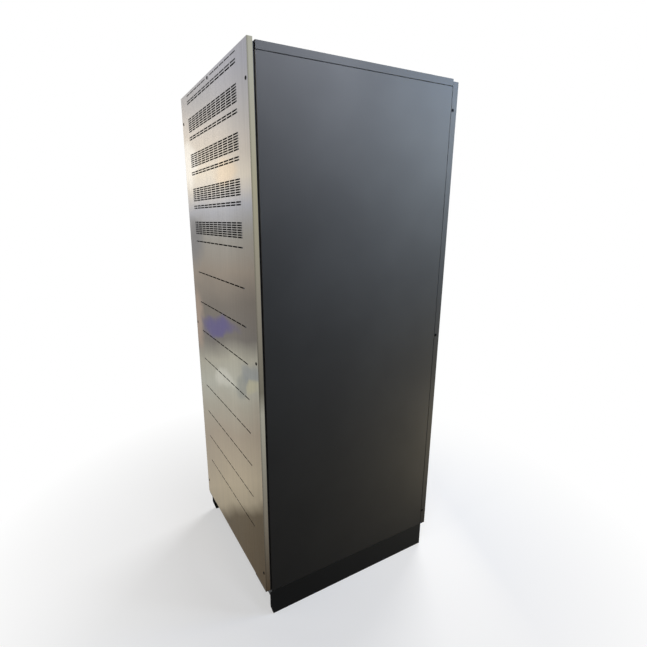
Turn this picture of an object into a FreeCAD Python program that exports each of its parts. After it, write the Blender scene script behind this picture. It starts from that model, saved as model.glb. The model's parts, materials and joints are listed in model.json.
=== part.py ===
import FreeCAD, Part
import math
import os

import Sketcher

# Modular uninterruptible power supply: a free-standing cabinet with twelve 3U bays.
# The four upper bays hold power modules, the eight lower ones hold battery drawers, and the
# zone under them holds the isolators, the breaker and the cable terminals.
# Millimetres. +Z is up, the fascia faces -Y, the slotted rear cover faces +Y, and the origin
# lies on the floor under the middle of the cabinet, its screw heads included.

# Each driving size is written once here and goes into the sheet under its own name.
DRIVING_SIZES = (
    # The cabinet as a whole
    ("overall_height", "1990", "floor to the top edge of the rear cover"),
    ("cabinet_width", "730", "over the two side panels"),
    ("overall_depth", "820", "fascia face to rear cover face"),
    ("panel_sheet", "1.5", "sheet of the outer panels"),
    ("panel_fold", "10", "side panel's folded edge, panel face to frame"),
    ("seam", "2", "dark joint between neighbouring outer panels"),
    ("seat_gap", "0.3", "clearance between pieces that seat but move apart"),
    # Plinth and base
    ("plinth_height", "108", "floor to the top of the base frame"),
    ("plinth_setback", "24", "kick plate behind the fascia face"),
    ("skirt_lift", "1", "skirts above the floor"),
    ("skirt_rear_setback", "15", "skirt's rear edge ahead of the cover face"),
    ("skirt_cut_length", "12", "cut at the skirt's rear foot, along the depth"),
    ("skirt_cut_height", "40", "cut at the skirt's rear foot, upwards"),
    ("skirt_fold", "14", "skirt's folded foot"),
    ("base_height", "40", "depth of the welded base"),
    ("base_sheet", "3", "sheet of the base"),
    ("base_margin", "60", "width of the base's rails and end bars"),
    ("base_rear_setback", "25", "base's rear edge ahead of the cover face"),
    # Frame
    ("post_width", "100", "posts across the cabinet"),
    ("post_wall", "2.5", "wall of the post tubes"),
    ("front_post_depth", "40", "front post tubes along the depth"),
    ("middle_post_depth", "25", "middle post tubes along the depth"),
    ("rear_post_depth", "40", "rear post tubes along the depth"),
    ("post_setback", "38", "front posts' face behind the fascia face"),
    ("rack_depth", "597", "front posts' face to the middle posts' rear face"),
    ("top_rail_height", "24", "top frame, bottom to top"),
    ("top_rail_width", "40", "bars of the top frame"),
    ("fascia_rail_reach", "30", "fascia rail ahead of the front posts"),
    ("fascia_rail_flange", "15", "flange that takes the side screws"),
    # Roof, fascia and rear cover
    ("roof_drop", "7", "roof's top below the rear cover's top edge"),
    ("roof_band", "23", "roof's folded side band"),
    ("fascia_drop", "15", "fascia's top below the rear cover's top edge"),
    ("fascia_return", "26", "fascia's folded sides"),
    ("opening_margin", "1", "fascia opening above the uppermost bay"),
    ("opening_side_gap", "3", "fascia opening beside the bezels"),
    ("opening_sill", "24", "fascia below its opening"),
    ("cover_width", "722", "rear cover over its side flanges"),
    ("cover_lift", "9", "rear cover's lower edge above the plinth"),
    ("cover_flange", "17.5", "rear cover's folded flanges"),
    ("shadow_gap", "6", "open joint between rear cover and side panel"),
    # Vent slots of the rear cover
    ("slot_length", "43.7", "vent slot, along the row"),
    ("slot_web", "6", "metal between two slots of a row"),
    ("slot_height", "3.6", "vent slot, across the row"),
    ("field_row_pitch", "7.7", "rows of an exhaust field"),
    ("field_rise", "26.2", "lowest row of a field above its bay's floor line"),
    ("pair_spacing", "8.4", "two rows at a power bay's ceiling line"),
    ("line_row_drop", "6.2", "single row below a bay line"),
    ("top_row_drop", "10.7", "uppermost row below the cover's top edge"),
    # Bays and their runners
    ("bay_pitch", "133.35", "three rack units"),
    ("first_bay_drop", "35.2", "uppermost bay's ceiling below the cover's top edge"),
    ("runner_sheet", "2.5", "sheet of the runner angles"),
    ("runner_leg", "24", "runner angle's upright leg"),
    ("runner_shelf", "22", "runner angle's shelf"),
    ("runner_lift", "1", "runner angle above its bay's floor line"),
    ("side_play", "1", "chassis or tray beside the runners"),
    # Module and drawer fronts
    ("bezel_width", "540", "module and drawer fronts"),
    ("bezel_gap", "2", "joint between neighbouring fronts"),
    ("bezel_thickness", "12", "module and drawer fronts"),
    ("handle_reach", "24", "bow handles in front of the bezels"),
    ("handle_bar", "6", "thickness of a bow handle's bar"),
    ("handle_width", "14", "width of a bow handle's bar"),
    ("module_handle_height", "84", "power module's upright bow handles"),
    ("module_handle_inset", "14", "power module's handles from the bezel's ends"),
    ("drawer_handle_length", "150", "battery drawer's level bow handle"),
    # Power modules
    ("chassis_length", "548", "power module's chassis and battery tray"),
    ("chassis_sheet", "1.2", "sheet of the chassis"),
    ("chassis_headroom", "4", "chassis below the next bay's floor line"),
    ("exhaust_rise", "12", "chassis exhaust window above its floor"),
    ("exhaust_height", "60", "chassis exhaust window"),
    ("exhaust_width", "440", "chassis exhaust window"),
    ("socket_depth", "6", "docking sockets behind the chassis and trays"),
    ("grille_left", "-214", "air grille's left end"),
    ("grille_length", "306", "air grille's slots"),
    ("grille_slot", "9", "air grille's slot height"),
    ("grille_pitch", "16.5", "air grille's slots, pitch"),
    ("display_width", "84", "display recess"),
    ("display_height", "52", "display recess"),
    ("display_centre", "166", "display recess from the middle of the bezel"),
    ("display_rise", "10", "display recess's middle above the bezel's middle"),
    ("display_depth", "3", "display recess"),
    # Fans
    ("fan_radius", "54", "fan blade tips"),
    ("hub_radius", "21", "fan hub"),
    ("hub_depth", "22", "fan hub"),
    ("blade_root", "13", "fan blade's width at the hub"),
    ("blade_tip", "32", "fan blade's width at its tip"),
    ("blade_thickness", "2.2", "fan blades"),
    ("fan_spacing", "146", "between the two fans of a module"),
    ("fan_middle", "-61", "middle of the fan pair"),
    ("fan_setback", "10", "fan hub behind the bezel's rear face"),
    ("strut_height", "30", "bar behind the hubs that carries both fans"),
    ("strut_depth", "6", "bar behind the hubs that carries both fans"),
    # Battery drawers
    ("tray_sheet", "2", "sheet of the battery tray"),
    ("tray_wall_height", "58", "battery tray's sides"),
    ("block_width", "151", "one string of battery blocks"),
    ("block_height", "97", "battery blocks"),
    ("string_length", "522", "one string of battery blocks"),
    ("string_gap", "8", "between two strings"),
    # Docking strips, busbars and terminals
    ("strip_sheet", "3", "docking strips"),
    ("strip_height", "36", "docking strips"),
    ("strip_drop", "6", "docking strip below its bay's ceiling line"),
    ("strip_overlap", "20", "docking strips over the middle posts"),
    ("plug_width", "110", "docking plugs"),
    ("plug_height", "24", "docking plugs"),
    ("busbar_width", "30", "busbars"),
    ("busbar_thickness", "5", "busbars"),
    ("busbar_spacing", "90", "busbars, pitch"),
    ("terminal_plate_height", "150", "terminal plate"),
    ("terminal_plate_lift", "52", "terminal plate above the plinth"),
    ("terminal_base_height", "34", "insulating terminal base"),
    ("terminal_base_depth", "30", "insulating terminal base"),
    ("terminal_pitch", "52", "terminals"),
    ("terminal_width", "38", "terminals"),
    ("terminal_height", "22", "terminals"),
    ("terminal_depth", "16", "terminals"),
    # Switch panel
    ("switch_panel_gap", "3", "switch panel inside the fascia opening"),
    ("isolator_size", "64", "square isolator body"),
    ("isolator_depth", "70", "isolator body behind the switch panel's face"),
    ("switch_proud", "2", "isolators and breaker in front of the switch panel"),
    ("isolator_left", "-176", "left isolator from the middle"),
    ("isolator_right", "-66", "right isolator from the middle"),
    ("breaker_centre", "120", "battery breaker from the middle"),
    ("breaker_width", "140", "battery breaker"),
    ("breaker_height", "120", "battery breaker"),
    ("breaker_depth", "80", "battery breaker behind the switch panel's face"),
    ("toggle_width", "26", "breaker toggle"),
    ("toggle_reach", "16", "breaker toggle in front of its slot"),
    ("toggle_swing_gap", "15", "half height of the toggle's slot"),
    ("knob_radius", "27", "isolator knobs"),
    ("knob_base", "6", "isolator knob's round base"),
    ("knob_grip_width", "13", "isolator knob's grip"),
    ("knob_grip_reach", "15", "isolator knob's grip in front of its base"),
    # Cable entry
    ("gland_plate_sheet", "2", "gland plate"),
    ("gland_plate_width", "400", "gland plate"),
    ("gland_slot_width", "240", "cable opening in the gland plate"),
    ("gland_slot_length", "80", "cable opening in the gland plate"),
    ("window_rear_length", "250", "length of the base's rear window"),
    ("window_bridge", "90", "width of the middle bar between its windows"),
    ("plate_overlap", "15", "gland plate over the window's edges"),
    # Levelling feet and screws
    ("foot_inset_x", "42", "feet from the base's sides"),
    ("foot_inset_y", "64", "feet from the base's ends"),
    ("foot_pad_radius", "26", "foot pads, over their corners"),
    ("foot_pad_height", "14", "foot pads"),
    ("foot_stem_radius", "8", "foot stems"),
    ("foot_stem_length", "88", "foot stems above their pads"),
    ("foot_boss_size", "34", "square bosses that the stems run in"),
    ("cover_screw_inset", "16", "cover screws from the cover's sides"),
    ("side_screw_inset", "20", "side screws behind the fascia face"),
    ("cover_screw_top", "100", "upper cover screws below the cover's top edge"),
    ("cover_screw_pitch", "850", "cover screws and side screws, along the height"),
    ("side_screw_drop", "9", "side screws below the cover screws"),
    ("top_screw_drop", "12.5", "middle screw below the cover's top edge"),
    ("screw_radius", "4.5", "screw heads"),
    ("screw_head", "1.2", "screw heads"),
)

BAYS = 12
POWER_BAYS = 4
SLOTS_PER_ROW = 11
FIELD_ROWS = 7
GRILLE_SLOTS = 5
FAN_BLADES = 5
HUB_SIDES = 10
FOOT_SIDES = 8
KNOB_SIDES = 16
SCREW_SIDES = 6
BATTERY_STRINGS = 3
BUSBARS = 5
TERMINALS = 8
BLADE_PITCH = 38.0
SIDES = (("left", -1), ("right", 1))

doc = FreeCAD.newDocument("modular_ups")


class Size:
    """A length in millimetres with the sheet formula that it comes from."""

    def __init__(self, value, formula):
        self.value = value
        self.formula = formula

    def joined(self, sign, other, value):
        return Size(value, f"({self.formula} {sign} {size_of(other).formula})")

    def __add__(self, other):
        return self.joined("+", other, self.value + size_of(other).value)

    def __radd__(self, other):
        return size_of(other) + self

    def __sub__(self, other):
        return self.joined("-", other, self.value - size_of(other).value)

    def __rsub__(self, other):
        return size_of(other) - self

    def __mul__(self, number):
        return self.joined("*", number, self.value * number)

    def __rmul__(self, number):
        return self * number

    def __truediv__(self, number):
        return self.joined("/", number, self.value / number)

    def __neg__(self):
        return self * -1


def size_of(number):
    """Gives a plain number the form of a Size."""
    if isinstance(number, Size):
        return number
    return Size(float(number), f"({float(number)!r})")


def fill_sheet():
    """Writes the driving sizes into the sheet and gives them back by name."""
    sheet = doc.addObject("Spreadsheet::Sheet", "Sizes")
    named = {}
    for row, (alias, value, meaning) in enumerate(DRIVING_SIZES, start=1):
        sheet.set(f"A{row}", meaning)
        sheet.set(f"B{row}", value)
        sheet.setAlias(f"B{row}", alias)
        named[alias] = Size(float(value), f"Sizes.{alias}")
    doc.recompute()
    return named


SIZE = fill_sheet()


def of(alias):
    """One driving size by its name in the sheet."""
    return SIZE[alias]


# The ways in which a sketch is drawn and made solid.
# A sketch across an axis lies in the origin plane named here. The plane across Y looks along -Y.
PLANES = {"X": ("YZ_Plane", 1), "Y": ("XZ_Plane", -1), "Z": ("XY_Plane", 1)}
sub_parts = []


def tie(target, path, size):
    """Ties one property of an object to the sheet."""
    target.setExpression(path, size_of(size).formula)


def new_body(label):
    """Starts a sub-part; its label is its file's name."""
    body = doc.addObject("PartDesign::Body", label)
    body.AllowCompound = True
    sub_parts.append(body)
    return body


def origin_part(body, role):
    """An origin plane or axis of a body, found by its role."""
    return next(part for part in body.Origin.OriginFeatures if part.Role == role)


def draw_loop(sketch, corners):
    """Draws a closed run of straight lines with each corner tied to the sheet."""
    first = sketch.GeometryCount
    points = [FreeCAD.Vector(x.value, y.value, 0) for x, y in corners]
    for index, point in enumerate(points):
        following = points[(index + 1) % len(points)]
        sketch.addGeometry(Part.LineSegment(point, following), False)
    for index in range(len(points)):
        nearest = first + (index + 1) % len(points)
        sketch.addConstraint(Sketcher.Constraint("Coincident", first + index, 2, nearest, 1))
    for index, (x, y) in enumerate(corners):
        for direction, distance in (("DistanceX", x), ("DistanceY", y)):
            rule = Sketcher.Constraint(direction, -1, 1, first + index, 1, distance.value)
            number = sketch.addConstraint(rule)
            tie(sketch, f"Constraints[{number}]", distance)


def new_sketch(body, name, axis, place, loops):
    """Draws loops in a plane across an axis, at a place along it."""
    role, sense = PLANES[axis]
    sketch = body.newObject("Sketcher::SketchObject", f"{name}_outline")
    sketch.AttachmentSupport = [(origin_part(body, role), "")]
    sketch.MapMode = "FlatFace"
    tie(sketch, "AttachmentOffset.Base.z", size_of(place) * sense)
    for corners in loops:
        draw_loop(sketch, [(size_of(x), size_of(y)) for x, y in corners])
    return sketch


def add(body, name, axis, low, high, *loops):
    """Pads the loops from low to high along an axis."""
    sketch = new_sketch(body, name, axis, high if axis == "Y" else low, loops)
    pad = body.newObject("PartDesign::Pad", name)
    pad.Profile = sketch
    tie(pad, "Length", size_of(high) - low)
    return pad


def cut(body, name, axis, low, high, *loops):
    """Cuts the loops from low to high along an axis."""
    sketch = new_sketch(body, name, axis, low if axis == "Y" else high, loops)
    pocket = body.newObject("PartDesign::Pocket", name)
    pocket.Profile = sketch
    tie(pocket, "Length", size_of(high) - low)
    return pocket


def repeat(body, name, features, steps):
    """Copies features along their first sketch's axes; each step is (axis, count, pitch)."""
    patterns = []
    for direction, count, pitch in steps:
        pattern = doc.addObject("PartDesign::LinearPattern", f"{name}_{direction}")
        pattern.Direction = (features[0].Profile[0], [direction])
        pattern.Occurrences = count
        tie(pattern, "Length", pitch * (count - 1))
        patterns.append(pattern)
    multi = body.newObject("PartDesign::MultiTransform", name)
    multi.Originals = features
    multi.Transformations = patterns
    body.Tip = multi
    return multi


def rectangle(left, right, low, high):
    """Corners of an upright rectangle."""
    return [(left, low), (right, low), (right, high), (left, high)]


def around(middle_x, middle_y, width, height):
    """Corners of a rectangle about its middle."""
    middle_x = size_of(middle_x)
    middle_y = size_of(middle_y)
    width = size_of(width)
    height = size_of(height)
    return rectangle(
        middle_x - width / 2, middle_x + width / 2, middle_y - height / 2, middle_y + height / 2
    )


def polygon(middle_x, middle_y, radius, sides):
    """Corners of a regular polygon about its middle."""
    corners = []
    for index in range(sides):
        angle = math.radians(360 * (index + 0.5) / sides)
        corners.append((radius * math.cos(angle) + middle_x, radius * math.sin(angle) + middle_y))
    return corners


def move(body, x=None, y=None, z=None):
    """Places a body that is drawn about its own origin."""
    for direction, distance in (("x", x), ("y", y), ("z", z)):
        if distance is not None:
            tie(body, f"Placement.Base.{direction}", distance)


# Places that several pieces share, all worked out from the driving sizes.
half_width = of("cabinet_width") / 2
front_face = (of("overall_depth") + of("screw_head")) / -2
rear_face = front_face + of("overall_depth")
cover_top = of("overall_height")
plinth_top = of("plinth_height")
sheet = of("panel_sheet")
frame_side = half_width - of("panel_fold")
inner_side = half_width - sheet
post_inner = frame_side - of("post_width")
fascia_rear = front_face + of("fascia_return")
post_front = front_face + of("post_setback")
post_back = rear_face - sheet
rack_back = post_front + of("rack_depth")
roof_top = cover_top - of("roof_drop")
roof_underside = roof_top - sheet
band_foot = roof_top - of("roof_band")
frame_top = roof_underside
post_top = frame_top - of("top_rail_height")
panel_rear = rear_face - of("cover_flange") - of("shadow_gap")
panel_foot = plinth_top + of("seam")
panel_head = band_foot - of("seam")
base_underside = plinth_top - of("base_height")
base_front = front_face + of("plinth_setback") + sheet
base_rear = rear_face - of("base_rear_setback")
bezel_rear = post_front - of("seat_gap")
bezel_front = bezel_rear - of("bezel_thickness")
bezel_half = of("bezel_width") / 2
opening_side = bezel_half + of("opening_side_gap")
opening_foot = plinth_top + of("opening_sill")
runner_floor = of("runner_lift") + of("runner_sheet")
ride_height = runner_floor + of("seat_gap")
chassis_half = post_inner - of("runner_sheet") - of("side_play")
socket_middle = of("bay_pitch") - of("strip_drop") - of("strip_height") / 2
socket_back = bezel_rear + of("chassis_length") + of("socket_depth")


def bay_line(number):
    """Height of the floor line of a bay, where bay 1 is the uppermost and 0 its ceiling."""
    return cover_top - of("first_bay_drop") - of("bay_pitch") * number


opening_top = bay_line(0) + of("opening_margin")


# The plinth: a welded base on four levelling feet behind a kick plate and two skirts.


def foot_places():
    """Name, x and y of each levelling foot."""
    for side, sense in SIDES:
        x = (inner_side - of("foot_inset_x")) * sense
        yield f"front_{side}", x, base_front + of("foot_inset_y")
        yield f"rear_{side}", x, base_rear - of("foot_inset_y")


def make_base_frame():
    """Two side rails with a boss for each foot's stem, and three bars welded between them."""
    base = new_body("base_frame")
    wall = of("base_sheet")
    under_top = plinth_top - wall
    window_side = inner_side - of("base_margin")
    rails = [
        rectangle(window_side * sense, inner_side * sense, base_front, base_rear)
        for _, sense in SIDES
    ]
    hollows = [
        rectangle(
            window_side * sense, (inner_side - wall) * sense, base_front + wall, base_rear - wall
        )
        for _, sense in SIDES
    ]
    add(base, "rails", "Z", base_underside, plinth_top, *rails)
    cut(base, "rail_hollows", "Z", base_underside, under_top, *hollows)
    bosses = [around(x, y, of("foot_boss_size"), of("foot_boss_size")) for _, x, y in foot_places()]
    add(base, "bosses", "Z", base_underside, under_top, *bosses)
    bore = (of("foot_stem_radius") + of("seat_gap")) / math.cos(math.pi / FOOT_SIDES)
    bores = [polygon(x, y, bore, FOOT_SIDES) for _, x, y in foot_places()]
    cut(base, "stem_bores", "Z", base_underside, plinth_top, *bores)
    bar_side = window_side - of("seat_gap")
    rear_window_end = base_rear - of("base_margin")
    rear_window_start = rear_window_end - of("window_rear_length")
    front_window_end = rear_window_start - of("window_bridge")
    front_window_start = base_front + of("base_margin")
    bars = (
        (base_front, front_window_start, base_front + wall, front_window_start),
        (front_window_end, rear_window_start, front_window_end + wall, rear_window_start - wall),
        (rear_window_end, base_rear, rear_window_end, base_rear - wall),
    )
    outlines = [rectangle(-bar_side, bar_side, start, end) for start, end, _, _ in bars]
    channels = [rectangle(-bar_side, bar_side, start, end) for _, _, start, end in bars]
    add(base, "bars", "Z", base_underside, plinth_top, *outlines)
    cut(base, "bar_channels", "Z", base_underside, under_top, *channels)


def make_levelling_feet():
    """A hexagonal pad under a stem that screws up into a rail of the base."""
    for place, x, y in foot_places():
        foot = new_body(f"levelling_foot_{place}")
        pad_top = of("foot_pad_height")
        add(foot, "pad", "Z", 0, pad_top, polygon(size_of(0), size_of(0), of("foot_pad_radius"), 6))
        stem = polygon(size_of(0), size_of(0), of("foot_stem_radius"), FOOT_SIDES)
        add(foot, "stem", "Z", pad_top, pad_top + of("foot_stem_length"), stem)
        move(foot, x=x, y=y)


def make_plinth_covers():
    """Two side skirts with a folded foot and a cut rear corner, and the kick plate between them."""
    skirt_front = front_face + of("plinth_setback")
    skirt_rear = rear_face - of("skirt_rear_setback")
    foot = of("skirt_lift")
    outline = [
        (skirt_front, foot),
        (skirt_rear - of("skirt_cut_length"), foot),
        (skirt_rear, foot + of("skirt_cut_height")),
        (skirt_rear, plinth_top),
        (skirt_front, plinth_top),
    ]
    for side, sense in SIDES:
        skirt = new_body(f"plinth_skirt_{side}")
        low, high = sorted((inner_side * sense, half_width * sense), key=lambda size: size.value)
        add(skirt, "skirt", "X", low, high, outline)
        fold_inner = (inner_side - of("skirt_fold")) * sense
        fold = rectangle(
            fold_inner, inner_side * sense, base_front, skirt_rear - of("skirt_cut_length")
        )
        add(skirt, "fold", "Z", foot, foot + sheet, fold)
    kick_plate = new_body("kick_plate")
    face = rectangle(-inner_side, inner_side, foot, plinth_top)
    add(kick_plate, "face", "Y", skirt_front, base_front, face)
    fold = of("skirt_fold")
    foot_side = inner_side - fold - of("seam")
    fold_outline = rectangle(-foot_side, foot_side, base_front, base_front + fold)
    add(kick_plate, "fold", "Z", foot, foot + sheet, fold_outline)


# The frame: six tube posts, the top frame and the rails that take the fascia's side screws.


def make_frame_posts():
    """Front, middle and rear pairs of tube posts, and the two fascia rails."""
    posts = new_body("frame_posts")
    wall = of("post_wall")
    rows = (
        ("front", post_front, post_front + of("front_post_depth")),
        ("middle", rack_back - of("middle_post_depth"), rack_back),
        ("rear", post_back - of("rear_post_depth"), post_back),
    )
    for name, start, end in rows:
        for side, sense in SIDES:
            outer = rectangle(post_inner * sense, frame_side * sense, start, end)
            inner = rectangle(
                (post_inner + wall) * sense, (frame_side - wall) * sense, start + wall, end - wall
            )
            add(posts, f"{name}_post_{side}", "Z", plinth_top, post_top, outer, inner)
    rail_tip = post_front - of("fascia_rail_reach")
    step = rail_tip + of("fascia_rail_flange")
    for side, sense in SIDES:
        section = [
            ((frame_side - wall) * sense, post_front),
            (frame_side * sense, post_front),
            (frame_side * sense, step),
            (inner_side * sense, step),
            (inner_side * sense, rail_tip),
            ((inner_side - wall) * sense, rail_tip),
            ((inner_side - wall) * sense, step - wall),
            ((frame_side - wall) * sense, step - wall),
        ]
        add(posts, f"fascia_rail_{side}", "Z", panel_foot, post_top, section)


def make_top_frame():
    """A ring of inverted channel on top of the posts."""
    ring = new_body("top_frame")
    wall = of("post_wall")
    bar = of("top_rail_width")
    ring_front = fascia_rear + sheet
    outer = rectangle(-frame_side, frame_side, ring_front, post_back)
    inner = rectangle(-frame_side + bar, frame_side - bar, ring_front + bar, post_back - bar)
    add(ring, "ring", "Z", post_top, frame_top, outer, inner)
    groove_outer = rectangle(
        -frame_side + wall, frame_side - wall, ring_front + wall, post_back - wall
    )
    rim = bar - wall
    groove_inner = rectangle(
        -frame_side + rim, frame_side - rim, ring_front + rim, post_back - rim
    )
    cut(ring, "channel", "Z", post_top, frame_top - wall, groove_outer, groove_inner)


def make_bay_runners():
    """A pair of runner angles for each bay, fixed to the front and middle posts."""
    runners = new_body("bay_runners")
    floor = bay_line(BAYS) + of("runner_lift")
    gauge = of("runner_sheet")
    pads = []
    for side, sense in SIDES:
        section = [
            (post_inner * sense, floor),
            (post_inner * sense, floor + of("runner_leg")),
            ((post_inner - gauge) * sense, floor + of("runner_leg")),
            ((post_inner - gauge) * sense, floor + gauge),
            ((post_inner - of("runner_shelf")) * sense, floor + gauge),
            ((post_inner - of("runner_shelf")) * sense, floor),
        ]
        pads.append(add(runners, f"runner_{side}", "Y", post_front, rack_back, section))
    repeat(runners, "bays", pads, (("V_Axis", BAYS, of("bay_pitch")),))


# The outer skin: side panels, roof, fascia and the slotted rear cover.


def make_side_panels():
    """Flat trays whose folded edges rest on the posts."""
    panel_front = fascia_rear + of("seam")
    outline = rectangle(panel_front, panel_rear, panel_foot, panel_head)
    hollow = rectangle(
        panel_front + sheet, panel_rear - sheet, panel_foot + sheet, panel_head - sheet
    )
    for side, sense in SIDES:
        panel = new_body(f"side_panel_{side}")
        outer = half_width * sense
        skin = inner_side * sense
        edge = frame_side * sense
        if sense > 0:
            add(panel, "tray", "X", edge, outer, outline)
            cut(panel, "hollow", "X", edge, skin, hollow)
        else:
            add(panel, "tray", "X", outer, edge, outline)
            cut(panel, "hollow", "X", skin, edge, hollow)


def make_roof_panel():
    """A sheet with folded bands at its sides and front, open towards the rear cover."""
    roof = new_body("roof_panel")
    outline = rectangle(-half_width, half_width, fascia_rear, panel_rear)
    hollow = rectangle(-inner_side, inner_side, fascia_rear + sheet, panel_rear + sheet)
    add(roof, "sheet_and_bands", "Z", band_foot, roof_top, outline)
    cut(roof, "hollow", "Z", band_foot, roof_underside, hollow)


def make_front_fascia():
    """A tray round the bay opening, whose jambs run back to the posts."""
    fascia = new_body("front_fascia")
    top = cover_top - of("fascia_drop")
    face_back = front_face + sheet
    outline = rectangle(-half_width, half_width, plinth_top, top)
    hollow = rectangle(-inner_side, inner_side, plinth_top + sheet, top - sheet)
    opening = rectangle(-opening_side, opening_side, opening_foot, opening_top)
    jamb = rectangle(
        -opening_side - sheet, opening_side + sheet, opening_foot - sheet, opening_top + sheet
    )
    add(fascia, "tray", "Y", front_face, fascia_rear, outline)
    cut(fascia, "hollow", "Y", face_back, fascia_rear, hollow)
    cut(fascia, "opening", "Y", front_face, face_back, opening)
    add(fascia, "jambs", "Y", front_face, bezel_rear, jamb, opening)


def slot_at(left, middle):
    """One vent slot from its left end and the height of its middle."""
    return rectangle(left, left + of("slot_length"), middle - of("slot_height") / 2,
                     middle + of("slot_height") / 2)


def punch_group(name, left, middle, steps):
    """A block of slot punches that stand through the rear cover's sheet."""
    punches = doc.addObject("PartDesign::Body", name)
    punches.AllowCompound = True
    punch = add(punches, f"{name}_punch", "Y", rear_face - sheet * 2, rear_face + sheet,
                slot_at(left, middle))
    repeat(punches, f"{name}_rows", [punch], steps)
    return punches


def make_rear_cover():
    """A tall tray, folded at its sides and top, with rows of vent slots punched for each bay."""
    side = of("cover_width") / 2
    flange_edge = rear_face - of("cover_flange")
    foot = plinth_top + of("cover_lift")
    tray = doc.addObject("PartDesign::Body", "cover_tray")
    add(tray, "cover_sheet", "Y", flange_edge, rear_face, rectangle(-side, side, foot, cover_top))
    hollow = rectangle(-side + sheet, side - sheet, foot - sheet, cover_top - sheet)
    cut(tray, "cover_hollow", "Y", flange_edge, rear_face - sheet, hollow)

    pitch = of("slot_length") + of("slot_web")
    first = (pitch * (SLOTS_PER_ROW - 1) + of("slot_length")) / -2
    across = ("H_Axis", SLOTS_PER_ROW, pitch)
    up_bays = of("bay_pitch")
    groups = []
    for number in range(1, POWER_BAYS + 1):
        steps = (across, ("V_Axis", FIELD_ROWS, of("field_row_pitch")))
        field_row = bay_line(number) + of("field_rise")
        groups.append(punch_group(f"exhaust_field_{number}", first, field_row, steps))
    pair_row = bay_line(POWER_BAYS - 1) - of("pair_spacing") / 2
    steps = (across, ("V_Axis", 2, of("pair_spacing")), ("V_Axis", POWER_BAYS, up_bays))
    groups.append(punch_group("double_rows", first, pair_row, steps))
    line_row = bay_line(BAYS) - of("line_row_drop")
    steps = (across, ("V_Axis", BAYS - POWER_BAYS + 1, up_bays))
    groups.append(punch_group("single_rows", first, line_row, steps))
    beside_middle = (SLOTS_PER_ROW - 1) // 2
    steps = (("H_Axis", beside_middle, pitch),)
    top_row = cover_top - of("top_row_drop")
    groups.append(punch_group("top_row_left", first, top_row, steps))
    second_start = first + pitch * (beside_middle + 1)
    groups.append(punch_group("top_row_right", second_start, top_row, steps))

    punches = doc.addObject("Part::Compound", "slot_punches")
    punches.Links = groups
    cover = doc.addObject("Part::Cut", "rear_cover")
    cover.Base = tray
    cover.Tool = punches
    cover.Refine = False
    sub_parts.append(cover)


def make_cabinet_screws():
    """Heads of the rear cover's screws and of the fascia's side screws."""
    screws = new_body("cabinet_screws")
    side = of("cover_width") / 2 - of("cover_screw_inset")
    lowest = cover_top - of("cover_screw_top") - of("cover_screw_pitch") * 2
    head = of("screw_head")
    cover_heads = [polygon(side * sense, lowest, of("screw_radius"), SCREW_SIDES)
                   for _, sense in SIDES]
    rear_heads = add(screws, "rear_heads", "Y", rear_face, rear_face + head, *cover_heads)
    repeat(screws, "rear_rows", [rear_heads], (("V_Axis", 3, of("cover_screw_pitch")),))
    middle_head = polygon(size_of(0), cover_top - of("top_screw_drop"), of("screw_radius"),
                          SCREW_SIDES)
    add(screws, "middle_head", "Y", rear_face, rear_face + head, middle_head)
    side_head = polygon(front_face + of("side_screw_inset"), lowest - of("side_screw_drop"),
                        of("screw_radius"), SCREW_SIDES)
    for side_name, sense in SIDES:
        low, high = sorted((half_width * sense, (half_width + head) * sense),
                           key=lambda size: size.value)
        heads = add(screws, f"side_heads_{side_name}", "X", low, high, side_head)
        repeat(screws, f"side_rows_{side_name}", [heads],
               (("V_Axis", 3, of("cover_screw_pitch")),))


# The power modules: a closed sheet-metal chassis behind a moulded bezel with an air grille.


def bow_handle(length, start, end, upright):
    """Section of a bow handle between two ends, seen along its bar's width."""
    bar = of("handle_bar")
    face = bezel_front
    tip = bezel_front - of("handle_reach")
    corners = [
        (start, face), (start, tip), (end, tip), (end, face),
        (end - bar, face), (end - bar, tip + bar), (start + bar, tip + bar), (start + bar, face),
    ]
    return [(y, x) for x, y in corners] if upright else corners


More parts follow.
